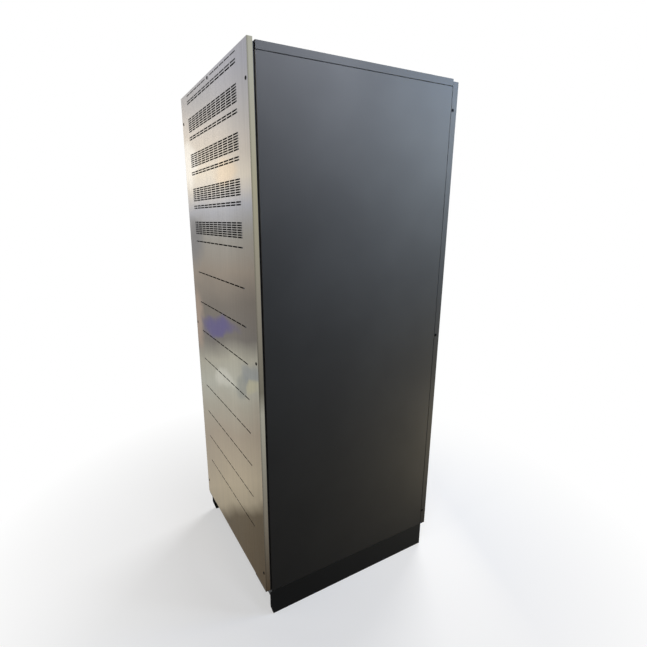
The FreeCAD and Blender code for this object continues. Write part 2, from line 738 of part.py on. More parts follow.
def make_power_module(number):
    """Chassis, bezel and fan rotors of one power module, drawn from its bay's floor line."""
    floor_line = bay_line(number)
    bottom = ride_height
    top = of("bay_pitch") - of("chassis_headroom")
    gauge = of("chassis_sheet")
    back = bezel_rear + of("chassis_length")

    chassis = new_body(f"module_chassis_{number}")
    shell = rectangle(-chassis_half, chassis_half, bottom, top)
    hollow = rectangle(-chassis_half + gauge, chassis_half - gauge, bottom + gauge, top - gauge)
    add(chassis, "shell", "Y", bezel_rear, back, shell)
    cut(chassis, "hollow", "Y", bezel_rear, back - gauge, hollow)
    window_middle = bottom + of("exhaust_rise") + of("exhaust_height") / 2
    window = around(size_of(0), window_middle, of("exhaust_width"), of("exhaust_height"))
    cut(chassis, "exhaust", "Y", back - gauge, back, window)
    add(chassis, "socket", "Y", back - gauge, socket_back,
        around(0, socket_middle, of("plug_width"), of("plug_height")))
    strut_front = bezel_rear + of("fan_setback") + of("hub_depth") + of("seat_gap")
    middle = of("bay_pitch") / 2
    strut = rectangle(-chassis_half + gauge, chassis_half - gauge,
                      middle - of("strut_height") / 2, middle + of("strut_height") / 2)
    add(chassis, "fan_strut", "Y", strut_front, strut_front + of("strut_depth"), strut)
    move(chassis, z=floor_line)

    bezel = new_body(f"module_bezel_{number}")
    bezel_low = of("bezel_gap") / 2
    bezel_high = of("bay_pitch") - of("bezel_gap") / 2
    middle = of("bay_pitch") / 2
    add(bezel, "face", "Y", bezel_front, bezel_rear,
        rectangle(-bezel_half, bezel_half, bezel_low, bezel_high))
    lowest = middle - of("grille_pitch") * (GRILLE_SLOTS - 1) / 2
    grille_slot = cut(bezel, "grille_slot", "Y", bezel_front, bezel_rear,
                      rectangle(of("grille_left"), of("grille_left") + of("grille_length"),
                                lowest - of("grille_slot") / 2, lowest + of("grille_slot") / 2))
    repeat(bezel, "grille", [grille_slot], (("V_Axis", GRILLE_SLOTS, of("grille_pitch")),))
    display = around(of("display_centre"), middle + of("display_rise"), of("display_width"),
                     of("display_height"))
    cut(bezel, "display_recess", "Y", bezel_front, bezel_front + of("display_depth"), display)
    low = middle - of("module_handle_height") / 2
    section = bow_handle(of("module_handle_height"), low, low + of("module_handle_height"), True)
    for side, sense in SIDES:
        ends = ((bezel_half - of("module_handle_inset") - of("handle_width")) * sense,
                (bezel_half - of("module_handle_inset")) * sense)
        start, end = sorted(ends, key=lambda size: size.value)
        add(bezel, f"handle_{side}", "X", start, end, section)
    move(bezel, z=floor_line)

    for side, sense in SIDES:
        rotor = new_body(f"fan_rotor_{number}_{side}")
        make_fan_rotor(rotor)
        move(rotor, x=of("fan_middle") + of("fan_spacing") / 2 * sense,
             y=bezel_rear + of("fan_setback"), z=floor_line + middle)


def make_fan_rotor(rotor):
    """A hub with pitched blades that widen to their tips, turning about its own Y axis."""
    hub = polygon(size_of(0), size_of(0), of("hub_radius"), HUB_SIDES)
    add(rotor, "hub", "Y", 0, of("hub_depth"), hub)
    root = of("hub_radius") * math.cos(math.pi / HUB_SIDES)
    tip = of("fan_radius")
    outline = rotor.newObject("Sketcher::SketchObject", "blade_outline")
    outline.AttachmentSupport = [(origin_part(rotor, "XY_Plane"), "")]
    outline.MapMode = "FlatFace"
    tilt = FreeCAD.Rotation(FreeCAD.Vector(1, 0, 0), 90 - BLADE_PITCH)
    outline.AttachmentOffset = FreeCAD.Placement(FreeCAD.Vector(0, 0, 0), tilt)
    tie(outline, "AttachmentOffset.Base.y", of("hub_depth") / 2)
    draw_loop(outline, [
        (root, of("blade_root") / -2),
        (tip, of("blade_tip") / -2),
        (tip, of("blade_tip") / 2),
        (root, of("blade_root") / 2),
    ])
    blade = rotor.newObject("PartDesign::Pad", "blade")
    blade.Profile = outline
    blade.SideType = "Symmetric"
    tie(blade, "Length", of("blade_thickness"))
    rotor.Tip = body_polar(rotor, "blades", blade, FAN_BLADES)


def body_polar(body, name, feature, count):
    """Copies a feature evenly round the body's own Y axis."""
    pattern = body.newObject("PartDesign::PolarPattern", name)
    pattern.Originals = [feature]
    pattern.Axis = (origin_part(body, "Y_Axis"), [""])
    pattern.Angle = 360
    pattern.Occurrences = count
    return pattern


# The battery drawers: a front with a bow handle on a tray that holds strings of blocks.


def make_battery_drawer(number):
    """Drawer and battery strings of one battery bay, drawn from its floor line."""
    floor_line = bay_line(number)
    gauge = of("tray_sheet")
    bottom = ride_height
    drawer = new_body(f"battery_drawer_{number}")
    tray_back = bezel_rear + of("chassis_length")
    add(drawer, "front", "Y", bezel_front, bezel_rear,
        rectangle(-bezel_half, bezel_half, of("bezel_gap") / 2,
                  of("bay_pitch") - of("bezel_gap") / 2))
    add(drawer, "tray", "Y", bezel_rear, tray_back,
        rectangle(-chassis_half, chassis_half, bottom, bottom + of("tray_wall_height")))
    cut(drawer, "tray_hollow", "Z", bottom + gauge, bottom + of("tray_wall_height"),
        rectangle(-chassis_half + gauge, chassis_half - gauge, bezel_rear, tray_back - gauge))
    add(drawer, "socket_bracket", "Y", tray_back - gauge, tray_back,
        rectangle(of("plug_width") / -2, of("plug_width") / 2, bottom + of("tray_wall_height"),
                  socket_middle + of("plug_height") / 2))
    add(drawer, "socket", "Y", tray_back, socket_back,
        around(0, socket_middle, of("plug_width"), of("plug_height")))
    handle_half = of("drawer_handle_length") / 2
    middle = of("bay_pitch") / 2
    add(drawer, "handle", "Z", middle - of("handle_width") / 2, middle + of("handle_width") / 2,
        bow_handle(of("drawer_handle_length"), -handle_half, handle_half, False))
    move(drawer, z=floor_line)

    strings = new_body(f"battery_strings_{number}")
    step = of("block_width") + of("string_gap")
    start = bezel_rear + (of("chassis_length") - gauge - of("string_length")) / 2
    outlines = []
    for place in range(BATTERY_STRINGS):
        middle_x = step * (place - (BATTERY_STRINGS - 1) / 2)
        outlines.append(rectangle(middle_x - of("block_width") / 2,
                                  middle_x + of("block_width") / 2,
                                  start, start + of("string_length")))
    add(strings, "blocks", "Z", bottom + gauge, bottom + gauge + of("block_height"), *outlines)
    move(strings, z=floor_line)


# The electrical parts that stay in the cabinet.


def make_docking_strips():
    """One strip with a plug for each bay, across the middle posts' rear faces."""
    strips = new_body("docking_strips")
    half = post_inner + of("strip_overlap")
    middle = bay_line(BAYS - 1) - of("strip_drop") - of("strip_height") / 2
    strip = add(strips, "strip", "Y", rack_back, rack_back + of("strip_sheet"),
                around(size_of(0), middle, half * 2, of("strip_height")))
    plug = add(strips, "plug", "Y", socket_back + of("seat_gap"), rack_back,
               around(size_of(0), middle, of("plug_width"), of("plug_height")))
    repeat(strips, "bays", [strip, plug], (("V_Axis", BAYS, of("bay_pitch")),))


def make_busbars():
    """Upright bars on the docking strips' rear faces, down to the terminals."""
    bars = new_body("busbars")
    front = rack_back + of("strip_sheet")
    foot = plinth_top + of("terminal_plate_lift") + of("terminal_plate_height")
    top = bay_line(0) - of("strip_drop")
    outlines = [
        around(of("busbar_spacing") * (place - (BUSBARS - 1) / 2), (foot + top) / 2,
               of("busbar_width"), top - foot)
        for place in range(BUSBARS)
    ]
    add(bars, "bars", "Y", front, front + of("busbar_thickness"), *outlines)


def make_terminals():
    """The terminal plate on the middle posts, its insulating base and the clamps on it."""
    plate = new_body("terminal_plate")
    foot = plinth_top + of("terminal_plate_lift")
    front = rack_back
    face = rack_back + of("strip_sheet")
    half = post_inner + of("strip_overlap")
    add(plate, "plate", "Y", front, face,
        rectangle(-half, half, foot, foot + of("terminal_plate_height")))
    block = new_body("terminal_block")
    middle = foot + of("terminal_plate_height") / 2
    row = of("terminal_pitch") * TERMINALS
    base_face = face + of("terminal_base_depth")
    add(block, "base", "Y", face, base_face,
        around(size_of(0), middle, row, of("terminal_base_height")))
    clamps = new_body("terminal_clamps")
    outlines = [
        around(of("terminal_pitch") * (place - (TERMINALS - 1) / 2), middle,
               of("terminal_width"), of("terminal_height"))
        for place in range(TERMINALS)
    ]
    add(clamps, "clamps", "Y", base_face, base_face + of("terminal_depth"), *outlines)


def make_gland_plate():
    """A plate over the base's rear window, with the opening for the cables."""
    plate = new_body("gland_plate")
    rear_window_end = base_rear - of("base_margin")
    start = rear_window_end - of("window_rear_length") - of("plate_overlap")
    end = rear_window_end + of("plate_overlap")
    half = of("gland_plate_width") / 2
    outline = rectangle(-half, half, start, end)
    slot = around(size_of(0), (rear_window_end - of("window_rear_length") / 2),
                  of("gland_slot_width"), of("gland_slot_length"))
    add(plate, "plate", "Z", plinth_top, plinth_top + of("gland_plate_sheet"), outline, slot)


# The switch zone under the bays.

switch_foot = opening_foot + of("switch_panel_gap")
switch_top = bay_line(BAYS) - of("switch_panel_gap")
switch_middle = (switch_foot + switch_top) / 2
isolator_places = (("bypass", of("isolator_left")), ("output", of("isolator_right")))
switch_face = bezel_front - of("switch_proud")


def make_switch_zone():
    """The switch panel with the isolator and breaker bodies in its windows."""
    panel = new_body("switch_panel")
    face_back = bezel_front + sheet
    add(panel, "tray", "Y", bezel_front, bezel_rear,
        rectangle(-bezel_half, bezel_half, switch_foot, switch_top))
    hollow = rectangle(-bezel_half + sheet, bezel_half - sheet, switch_foot + sheet,
                       switch_top - sheet)
    cut(panel, "hollow", "Y", face_back, bezel_rear, hollow)
    isolators = [
        around(place, switch_middle, of("isolator_size"), of("isolator_size"))
        for _, place in isolator_places
    ]
    breaker_outline = around(of("breaker_centre"), switch_middle, of("breaker_width"),
                             of("breaker_height"))
    cut(panel, "windows", "Y", bezel_front, face_back, *isolators, breaker_outline)

    bodies = new_body("switch_bodies")
    add(bodies, "isolators", "Y", switch_face, bezel_front + of("isolator_depth"), *isolators)
    add(bodies, "breaker", "Y", switch_face, bezel_front + of("breaker_depth"), breaker_outline)
    slot = around(of("breaker_centre"), switch_middle, of("toggle_width") + of("seat_gap") * 2,
                  of("toggle_swing_gap") * 2)
    cut(bodies, "toggle_slot", "Y", switch_face, bezel_front + of("breaker_depth") / 2, slot)


def make_switch_knobs():
    """Rotary knobs with a bar grip, drawn about their own axes, in front of the isolators."""
    for name, place in isolator_places:
        knob = new_body(f"{name}_knob")
        base_front = of("knob_base") * -1
        add(knob, "base", "Y", base_front, 0,
            polygon(size_of(0), size_of(0), of("knob_radius"), KNOB_SIDES))
        grip_half = of("knob_radius") * 0.92
        half = of("knob_grip_width") / 2
        tip = of("knob_radius") * 0.62
        grip = [(-half, -tip), (0, -grip_half), (half, -tip), (half, tip), (0, grip_half),
                (-half, tip)]
        add(knob, "grip", "Y", base_front - of("knob_grip_reach"), base_front,
            [(size_of(x), size_of(y)) for x, y in grip])
        move(knob, x=place, y=switch_face - of("seat_gap"), z=switch_middle)


def make_breaker_toggle():
    """The breaker's toggle: a tapered lever on a drum, drawn about its pivot."""
    toggle = new_body("breaker_toggle")
    half = of("toggle_width") / 2
    drum = of("toggle_swing_gap") - of("seat_gap") * 2
    pivot = switch_face + drum
    reach = drum + of("toggle_reach")
    add(toggle, "drum", "X", -half, half, polygon(size_of(0), size_of(0), drum, 12))
    lever = [(-reach, drum * -0.22), (0, drum * -0.45), (0, drum * 0.45), (-reach, drum * 0.22)]
    add(toggle, "lever", "X", -half, half, lever)
    move(toggle, x=of("breaker_centre"), y=pivot, z=switch_middle)


def build():
    """Makes every sub-part."""
    make_base_frame()
    make_levelling_feet()
    make_plinth_covers()
    make_frame_posts()
    make_top_frame()
    make_bay_runners()
    make_side_panels()
    make_roof_panel()
    make_front_fascia()
    make_rear_cover()
    make_cabinet_screws()
    for number in range(1, POWER_BAYS + 1):
        make_power_module(number)
    for number in range(POWER_BAYS + 1, BAYS + 1):
        make_battery_drawer(number)
    make_docking_strips()
    make_busbars()
    make_terminals()
    make_gland_plate()
    make_switch_zone()
    make_switch_knobs()
    make_breaker_toggle()
    doc.recompute()


def check():
    """Stops if any object failed or any sub-part is not a valid solid."""
    for thing in doc.Objects:
        failed = [state for state in thing.State if state in ("Invalid", "Error")]
        if failed:
            raise RuntimeError(f"{thing.Label} is {failed}")
    for piece in sub_parts:
        shape = piece.Shape
        if shape.isNull() or not shape.isValid() or not shape.Solids:
            raise RuntimeError(f"{piece.Label} has no valid solid")


def write():
    """Writes each sub-part to its own file."""
    os.makedirs("parts", exist_ok=True)
    for piece in sub_parts:
        piece.Shape.exportStep(f"parts/{piece.Label}.step")
        print(piece.Label, len(piece.Shape.Solids), "solids", len(piece.Shape.Faces), "faces")
    print(len(sub_parts), "sub-parts")


build()
check()
write()
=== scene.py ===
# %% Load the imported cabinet
import json
import math

import bpy
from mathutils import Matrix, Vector


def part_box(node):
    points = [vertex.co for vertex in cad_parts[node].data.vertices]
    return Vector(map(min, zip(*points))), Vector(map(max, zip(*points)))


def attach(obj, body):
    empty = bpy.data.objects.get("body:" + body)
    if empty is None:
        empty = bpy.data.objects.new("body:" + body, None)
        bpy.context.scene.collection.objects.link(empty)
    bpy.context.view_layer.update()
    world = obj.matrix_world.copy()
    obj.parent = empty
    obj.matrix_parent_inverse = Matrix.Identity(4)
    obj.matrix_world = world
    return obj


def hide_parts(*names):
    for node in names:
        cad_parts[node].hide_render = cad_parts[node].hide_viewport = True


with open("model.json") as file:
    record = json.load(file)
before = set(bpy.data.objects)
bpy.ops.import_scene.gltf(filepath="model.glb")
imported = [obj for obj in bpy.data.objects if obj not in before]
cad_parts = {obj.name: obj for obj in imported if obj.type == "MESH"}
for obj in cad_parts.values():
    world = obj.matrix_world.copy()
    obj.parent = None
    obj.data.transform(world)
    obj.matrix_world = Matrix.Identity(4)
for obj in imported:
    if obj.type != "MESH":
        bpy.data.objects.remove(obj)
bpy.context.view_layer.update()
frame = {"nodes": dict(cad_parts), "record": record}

nodes = frame["nodes"]

# %% [markdown]
# The cabinet stands on the floor with its slotted rear cover towards +Y and its module fronts
# towards -Y. Everything below is in metres. The photograph looks at the rear cover and at the
# side that faces -X, from about half a metre under the height of the roof.

# %% Names that the later cells share
MM = 0.001
BAYS = 12
POWER_BAYS = 4
POWER_NUMBERS = range(1, POWER_BAYS + 1)
BATTERY_NUMBERS = range(POWER_BAYS + 1, BAYS + 1)
SIDES = ("left", "right")
KNOBS = ("bypass_knob", "output_knob")
MERGE_DISTANCE = 0.01 * MM
SAME_PLACE = 0.001 * MM
FACING = 0.9  # cosine of the angle within which a face counts as facing a way


def deselect():
    """Leaves nothing selected, so that an operator acts only on what is picked next."""
    if bpy.context.mode != "OBJECT":
        bpy.ops.object.mode_set(mode="OBJECT")
    bpy.ops.object.select_all(action="DESELECT")


def pick(*pieces):
    """Selects only these objects and makes the last one active."""
    deselect()
    for piece in pieces:
        piece.select_set(True)
    bpy.context.view_layer.objects.active = pieces[-1]


def open_whole(piece):
    """Opens a piece in edit mode with everything selected."""
    pick(piece)
    bpy.ops.object.mode_set(mode="EDIT")
    bpy.ops.mesh.select_all(action="SELECT")


def close_mesh():
    """Goes back to object mode."""
    bpy.ops.object.mode_set(mode="OBJECT")


def settle(piece):
    """Puts a piece's place into its mesh and leaves its object at the origin."""
    pick(piece)
    bpy.ops.object.transform_apply(location=True, rotation=True, scale=True)
    return piece


def apply_all(piece):
    """Applies the modifiers of a piece in their order."""
    pick(piece)
    for modifier in list(piece.modifiers):
        bpy.ops.object.modifier_apply(modifier=modifier.name)


def outward(piece):
    """Merges doubled points and turns every face outwards."""
    open_whole(piece)
    bpy.ops.mesh.remove_doubles(threshold=MERGE_DISTANCE)
    bpy.ops.mesh.normals_make_consistent(inside=False)
    close_mesh()


def bevel(piece, width, segments=2, angle=40):
    """Rounds the sharp edges of a piece and merges points where two roundings meet."""
    modifier = piece.modifiers.new("bevel", "BEVEL")
    modifier.width = width
    modifier.segments = segments
    modifier.limit_method = "ANGLE"
    modifier.angle_limit = math.radians(angle)
    modifier.use_clamp_overlap = True
    apply_all(piece)
    open_whole(piece)
    bpy.ops.mesh.remove_doubles(threshold=SAME_PLACE)
    close_mesh()


def smooth(piece, angle=35):
    """Shades the rounded parts smooth and keeps the large flats flat."""
    pick(piece)
    bpy.ops.object.shade_smooth_by_angle(angle=math.radians(angle))
    weighting = piece.modifiers.new("weighting", "WEIGHTED_NORMAL")
    weighting.keep_sharp = True
    apply_all(piece)


def box_piece(name, low, high):
    """A block between two corners, as a start for more shaping."""
    deselect()
    middle = [(a + b) / 2 for a, b in zip(low, high)]
    size = [b - a for a, b in zip(low, high)]
    bpy.ops.mesh.primitive_cube_add(size=1, location=middle)
    piece = bpy.context.object
    piece.name = name
    piece.scale = size
    return settle(piece)


def turned_piece(name, middle, axis, radius, depth, sides):
    """A prism with many sides about an axis, as a start for more shaping."""
    turn = {"X": (0, math.pi / 2, 0), "Y": (math.pi / 2, 0, 0), "Z": (0, 0, 0)}[axis]
    deselect()
    bpy.ops.mesh.primitive_cylinder_add(
        vertices=sides, radius=radius, depth=depth, location=middle, rotation=turn
    )
    piece = bpy.context.object
    piece.name = name
    return settle(piece)


def own_copy(piece, name):
    """A copy with its own mesh, in the same place."""
    pick(piece)
    bpy.ops.object.duplicate(linked=False)
    copy = bpy.context.object
    copy.name = name
    return copy


def copy_at(piece, name, shift):
    """A copy moved by a step."""
    copy = own_copy(piece, name)
    copy.location = shift
    return settle(copy)


def join(name, pieces):
    """Joins pieces into one object."""
    pick(*pieces)
    bpy.ops.object.join()
    joined = bpy.context.object
    joined.name = name
    return joined


def finish_piece(piece, body, material, stands_for=()):
    """Gives a piece its finish and its body, and hides the nodes that it stands for."""
    piece.data.materials.clear()
    piece.data.materials.append(material)
    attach(piece, body)
    if stands_for:
        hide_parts(*stands_for)


def middle_of(node):
    """Middle of a node's box."""
    low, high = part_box(node)
    return (low + high) / 2


print("helpers are ready")

# %% [markdown]
# A finish is a small node network. Each one starts from the Principled shader and adds a
# little noise to colour, roughness or bump. The patterns read Object coordinates, which are
# metres here, so that a grain has its real width on every piece.


# %% Ways to build a finish
def new_finish(name, colour, metallic, roughness):
    """A material with its shader, ready for patterns."""
    material = bpy.data.materials.new(name)
    material.use_nodes = True
    shader = material.node_tree.nodes["Principled BSDF"]
    shader.inputs["Base Color"].default_value = (*colour, 1)
    shader.inputs["Metallic"].default_value = metallic
    shader.inputs["Roughness"].default_value = roughness
    return material, material.node_tree, shader


def pattern(tree, scale, stretch=(1, 1, 1), detail=3.0):
    """Noise in Object coordinates, stretched along the axes."""
    place = tree.nodes.new("ShaderNodeTexCoord")
    mapping = tree.nodes.new("ShaderNodeMapping")
    mapping.inputs["Scale"].default_value = stretch
    noise = tree.nodes.new("ShaderNodeTexNoise")
    noise.inputs["Scale"].default_value = scale
    noise.inputs["Detail"].default_value = detail
    tree.links.new(place.outputs["Object"], mapping.inputs["Vector"])
    tree.links.new(mapping.outputs["Vector"], noise.inputs["Vector"])
    return noise.outputs["Fac"]


def between(tree, source, low, high, start=0.35, end=0.65):
    """Maps a pattern to a range of numbers."""
    ranged = tree.nodes.new("ShaderNodeMapRange")
    ranged.inputs["From Min"].default_value = start
    ranged.inputs["From Max"].default_value = end
    ranged.inputs["To Min"].default_value = low
    ranged.inputs["To Max"].default_value = high
    tree.links.new(source, ranged.inputs["Value"])
    return ranged.outputs["Result"]


def tinted(tree, source, dark, light, start=0.35, end=0.65):
    """Maps a pattern to a blend of two colours."""
    ramp = tree.nodes.new("ShaderNodeValToRGB")
    ramp.color_ramp.elements[0].position = start
    ramp.color_ramp.elements[1].position = end
    ramp.color_ramp.elements[0].color = (*dark, 1)
    ramp.color_ramp.elements[1].color = (*light, 1)
    tree.links.new(source, ramp.inputs["Fac"])
    return ramp.outputs["Color"]


def raise_by(tree, shader, source, distance, strength=0.5):
    """Turns a pattern into a fine bump."""
    bump = tree.nodes.new("ShaderNodeBump")
    bump.inputs["Strength"].default_value = strength
    bump.inputs["Distance"].default_value = distance
    tree.links.new(source, bump.inputs["Height"])
    tree.links.new(bump.outputs["Normal"], shader.inputs["Normal"])


print("finish helpers are ready")

# %% [markdown]
# The rear cover is bare sheet steel, brushed upright. A very long stretch along Z turns noise
# into a grain. Bare sheet also mirrors its surroundings in soft bands and blots, which make
# most of its look in the photograph. Here they are a tint that follows the height as it looks
# from the photographer's place, and large patterns make it waver.


# %% Brushed sheet of the rear cover
# Painted reflections of the surroundings, as colours up the height of the cover face.
COVER_REFLECTION_TINTS = (
    (-0.10, (0.20, 0.14, 0.075)), (0.21, (0.22, 0.17, 0.105)), (0.28, (0.63, 0.54, 0.39)),
    (0.38, (0.70, 0.60, 0.44)), (0.62, (0.53, 0.45, 0.35)), (0.74, (0.53, 0.49, 0.40)),
    (0.86, (0.59, 0.59, 0.51)), (0.96, (0.54, 0.52, 0.43)), (1.05, (0.235, 0.215, 0.195)),
    (1.18, (0.25, 0.22, 0.19)), (1.30, (0.40, 0.34, 0.28)), (1.44, (0.44, 0.42, 0.38)),
    (1.54, (0.53, 0.54, 0.59)), (1.66, (0.78, 0.72, 0.63)), (1.76, (0.65, 0.60, 0.55)),
    (1.90, (0.65, 0.63, 0.63)), (2.05, (0.59, 0.59, 0.65)),
)
# Painted reflections on the side rims, lighter at the top and darker at the foot.
RIM_REFLECTION_TINTS = (
    (0.12, (0.09, 0.065, 0.04)), (0.40, (0.20, 0.175, 0.135)), (0.86, (0.32, 0.31, 0.26)),
    (0.94, (0.15, 0.14, 0.11)), (1.25, (0.24, 0.22, 0.18)), (1.60, (0.36, 0.34, 0.25)),
    (1.90, (0.40, 0.40, 0.34)),
)
# Painted reflections in soft blots, among them a painted highlight and a bluish painted
# reflection.
COVER_REFLECTION_PATCHES = (
    ((0.05, 1.10), (0.26, 0.055), (0.14, 0.12, 0.33), 0.85),
    ((0.30, 1.70), (0.17, 0.09), (0.88, 0.87, 0.85), 0.8),
    ((-0.14, 1.67), (0.18, 0.05), (0.86, 0.70, 0.52), 0.6),
    ((0.31, 1.42), (0.22, 0.12), (0.27, 0.27, 0.285), 0.8),
    ((0.34, 1.13), (0.13, 0.14), (0.56, 0.43, 0.34), 0.8),
    ((0.02, 0.87), (0.14, 0.055), (0.78, 0.77, 0.68), 0.8),
    ((-0.19, 0.85), (0.12, 0.065), (0.40, 0.41, 0.37), 0.8),
    ((-0.30, 0.89), (0.12, 0.065), (0.32, 0.35, 0.38), 0.6),
    ((-0.31, 0.83), (0.09, 0.045), (0.66, 0.62, 0.42), 0.6),
)
EYE_HEIGHT = 1.509
EYE_DEPTH = 1.58
DEPTH_PER_METRE = 0.85
COVER_FACE = 0.4094
COVER_SHEET = 0.0015
RIM_START, RIM_END = 0.3590, 0.3605
FOLD_START, FOLD_END = 0.404, 0.409
GRAIN_STRETCH = (900, 900, 6)
STREAK_STRETCH = (110, 110, 1.6)
# Painted shade for the slot walls, nearly black.
SLOT_SHADE_COLOUR = (0.012, 0.011, 0.010)


def tint_by_height(tree, height, stops):
    """A ramp of colours up the height, each stop at its place above the floor."""
    foot, top = stops[0][0], stops[-1][0]
    ramp = tree.nodes.new("ShaderNodeValToRGB")
    elements = ramp.color_ramp.elements
    elements[0].color, elements[1].color = (*stops[0][1], 1), (*stops[-1][1], 1)
    for place, colour in stops[1:-1]:
        elements.new((place - foot) / (top - foot)).color = (*colour, 1)
    tree.links.new(between(tree, height, 0.0, 1.0, foot, top), ramp.inputs["Fac"])
    return ramp.outputs["Color"]


def maths(tree, operation, *values):
    """One calculation with values that are numbers or sockets."""
    node = tree.nodes.new("ShaderNodeMath")
    node.operation = operation
    for socket, value in zip(node.inputs, values):
        if isinstance(value, (int, float)):
            socket.default_value = value
        else:
            tree.links.new(value, socket)
    return node.outputs["Value"]


def weighted(tree, first, weight, second):
    """A first value plus a weight times a second value."""
    return maths(tree, "MULTIPLY_ADD", second, weight, first)


def mixed(tree, amount, first, second, way="MIX"):
    """One colour over another, by an amount or fully."""
    mix = tree.nodes.new("ShaderNodeMix")
    mix.data_type = "RGBA"
    mix.blend_type = way
    mix.inputs["Factor"].default_value = 1.0
    if amount is not None:
        tree.links.new(amount, mix.inputs["Factor"])
    for colour, socket in ((first, mix.inputs["A"]), (second, mix.inputs["B"])):
        if isinstance(colour, tuple):
            socket.default_value = (*colour, 1)
        else:
            tree.links.new(colour, socket)
    return mix.outputs["Result"]


def grey_of(tree, value):
    """A grey colour with the same value in its three channels."""
    joined = tree.nodes.new("ShaderNodeCombineXYZ")
    for socket in joined.inputs:
        tree.links.new(value, socket)
    return joined.outputs["Vector"]


def level_height(tree, across, height):
    """The height of a band as it looks from the photographer's place, level in the picture."""
    depth = weighted(tree, EYE_DEPTH, DEPTH_PER_METRE, across)
    rise = maths(tree, "SUBTRACT", height, EYE_HEIGHT)
    share = maths(tree, "DIVIDE", rise, depth)
    return weighted(tree, EYE_HEIGHT, EYE_DEPTH, share)


def patch_of(tree, places, middle, reach, strength):
    """A soft oval mask around a place on the cover, strongest in its middle."""
    parts = []
    for place, centre, size in zip(places, middle, reach):
        share = maths(tree, "DIVIDE", maths(tree, "SUBTRACT", place, centre), size)
        parts.append(maths(tree, "MULTIPLY", share, share))
    mask = tree.nodes.new("ShaderNodeMapRange")
    mask.interpolation_type = "SMOOTHERSTEP"
    mask.inputs["From Min"].default_value = 1.0
    mask.inputs["From Max"].default_value = 0.0
    mask.inputs["To Min"].default_value = 0.0
    mask.inputs["To Max"].default_value = strength
    tree.links.new(maths(tree, "ADD", *parts), mask.inputs["Value"])
    return mask.outputs["Result"]


def cut_faces(tree, depth):
    """A mask of the slots' cut walls, which lie within the thickness of the sheet."""
    away = maths(tree, "SUBTRACT", depth, COVER_FACE - COVER_SHEET / 2)
    away = maths(tree, "ABSOLUTE", away)
    return between(tree, away, 1.0, 0.0, COVER_SHEET * 0.40, COVER_SHEET * 0.47)


def make_cover_steel():
    """Bare sheet: upright grain, painted reflections in bands, blots and rim, painted shade."""
    material, tree, shader = new_finish("cover_steel", (0.5, 0.48, 0.45), 1.0, 0.34)
    place = tree.nodes.new("ShaderNodeTexCoord")
    split = tree.nodes.new("ShaderNodeSeparateXYZ")
    tree.links.new(place.outputs["Object"], split.inputs["Vector"])
    across, depth, height = (split.outputs[axis] for axis in "XYZ")
    cloud = between(tree, pattern(tree, 3.0, (1.0, 1.0, 1.6)), -0.5, 0.5, 0.3, 0.7)
    level = weighted(tree, level_height(tree, across, height), 0.05, cloud)
    # Painted reflections of the surroundings in level bands.
    tint = tint_by_height(tree, level, COVER_REFLECTION_TINTS)
    waver = between(tree, pattern(tree, 5.0, (1.0, 1.0, 1.5), 2.0), -0.5, 0.5, 0.3, 0.7)
    places = (weighted(tree, across, 0.08, waver), weighted(tree, level, 0.03, waver))
    # Painted reflections and a painted highlight in soft blots.
    for middle, reach, colour, strength in COVER_REFLECTION_PATCHES:
        tint = mixed(tree, patch_of(tree, places, middle, reach, strength), tint, colour)
    grain = pattern(tree, 1.0, GRAIN_STRETCH, 4.0)
    fine = tinted(tree, grain, (0.82, 0.82, 0.82), (1.0, 1.0, 1.0), 0.3, 0.7)
    broad = pattern(tree, 1.0, STREAK_STRETCH)
    broad = tinted(tree, broad, (0.92, 0.92, 0.92), (1.0, 1.0, 1.0))
    # Painted shade: the face turns darker towards its edge at -X.
    dark = grey_of(tree, between(tree, across, 0.80, 1.0, -0.34, -0.12))
    for shade in (fine, broad, dark):
        tint = mixed(tree, None, tint, shade, "MULTIPLY")
    # The slot walls get a painted shade, nearly black.
    tint = mixed(tree, cut_faces(tree, depth), tint, SLOT_SHADE_COLOUR)
    # The side rims get their own painted reflections by height, darkened by a painted shade
    # towards the fold.
    edge = between(tree, maths(tree, "ABSOLUTE", across), 0.0, 1.0, RIM_START, RIM_END)
    fold_shade = grey_of(tree, between(tree, depth, 1.0, 0.62, FOLD_START, FOLD_END))
    rim = mixed(tree, None, tint_by_height(tree, height, RIM_REFLECTION_TINTS), fold_shade, "MULTIPLY")
    tint = mixed(tree, edge, tint, rim)
    tree.links.new(tint, shader.inputs["Base Color"])
    sheen = weighted(tree, between(tree, grain, 0.28, 0.42), -0.16, edge)
    tree.links.new(sheen, shader.inputs["Roughness"])
    raise_by(tree, shader, grain, 0.00005)
    shader.inputs["Specular Tint"].default_value = (0.62, 0.61, 0.59, 1)
    return material


cover_steel = make_cover_steel()
print("cover finish:", cover_steel.name)

# %% [markdown]
# The cabinet's paint is a powder coat. It is nearly matt, dark graphite grey, with the fine
# dimples of baked powder, so it gets a small bump and a broad change of roughness.


# %% Powder coats, plated steel and plastics
def vary(tree, shader, colour, cloud, shares, roughness, grain, spread):
    """Lets the colour follow one pattern and the roughness another."""
    dark, light = (tuple(min(1.0, channel * share) for channel in colour) for share in shares)
    tree.links.new(tinted(tree, cloud, dark, light), shader.inputs["Base Color"])
    tree.links.new(between(tree, grain, roughness - spread, roughness + spread),
                   shader.inputs["Roughness"])


def make_paint(name, colour, roughness, specular=0.4):
    """A powder coat with baked dimples and a faint unevenness."""
    material, tree, shader = new_finish(name, colour, 0.0, roughness)
    broad = pattern(tree, 5.0, detail=2.0)
    vary(tree, shader, colour, broad, (0.96, 1.05), roughness, broad, 0.03)
    raise_by(tree, shader, pattern(tree, 700.0, detail=2.0), 0.00004, 0.35)
    shader.inputs["Specular IOR Level"].default_value = specular
    return material


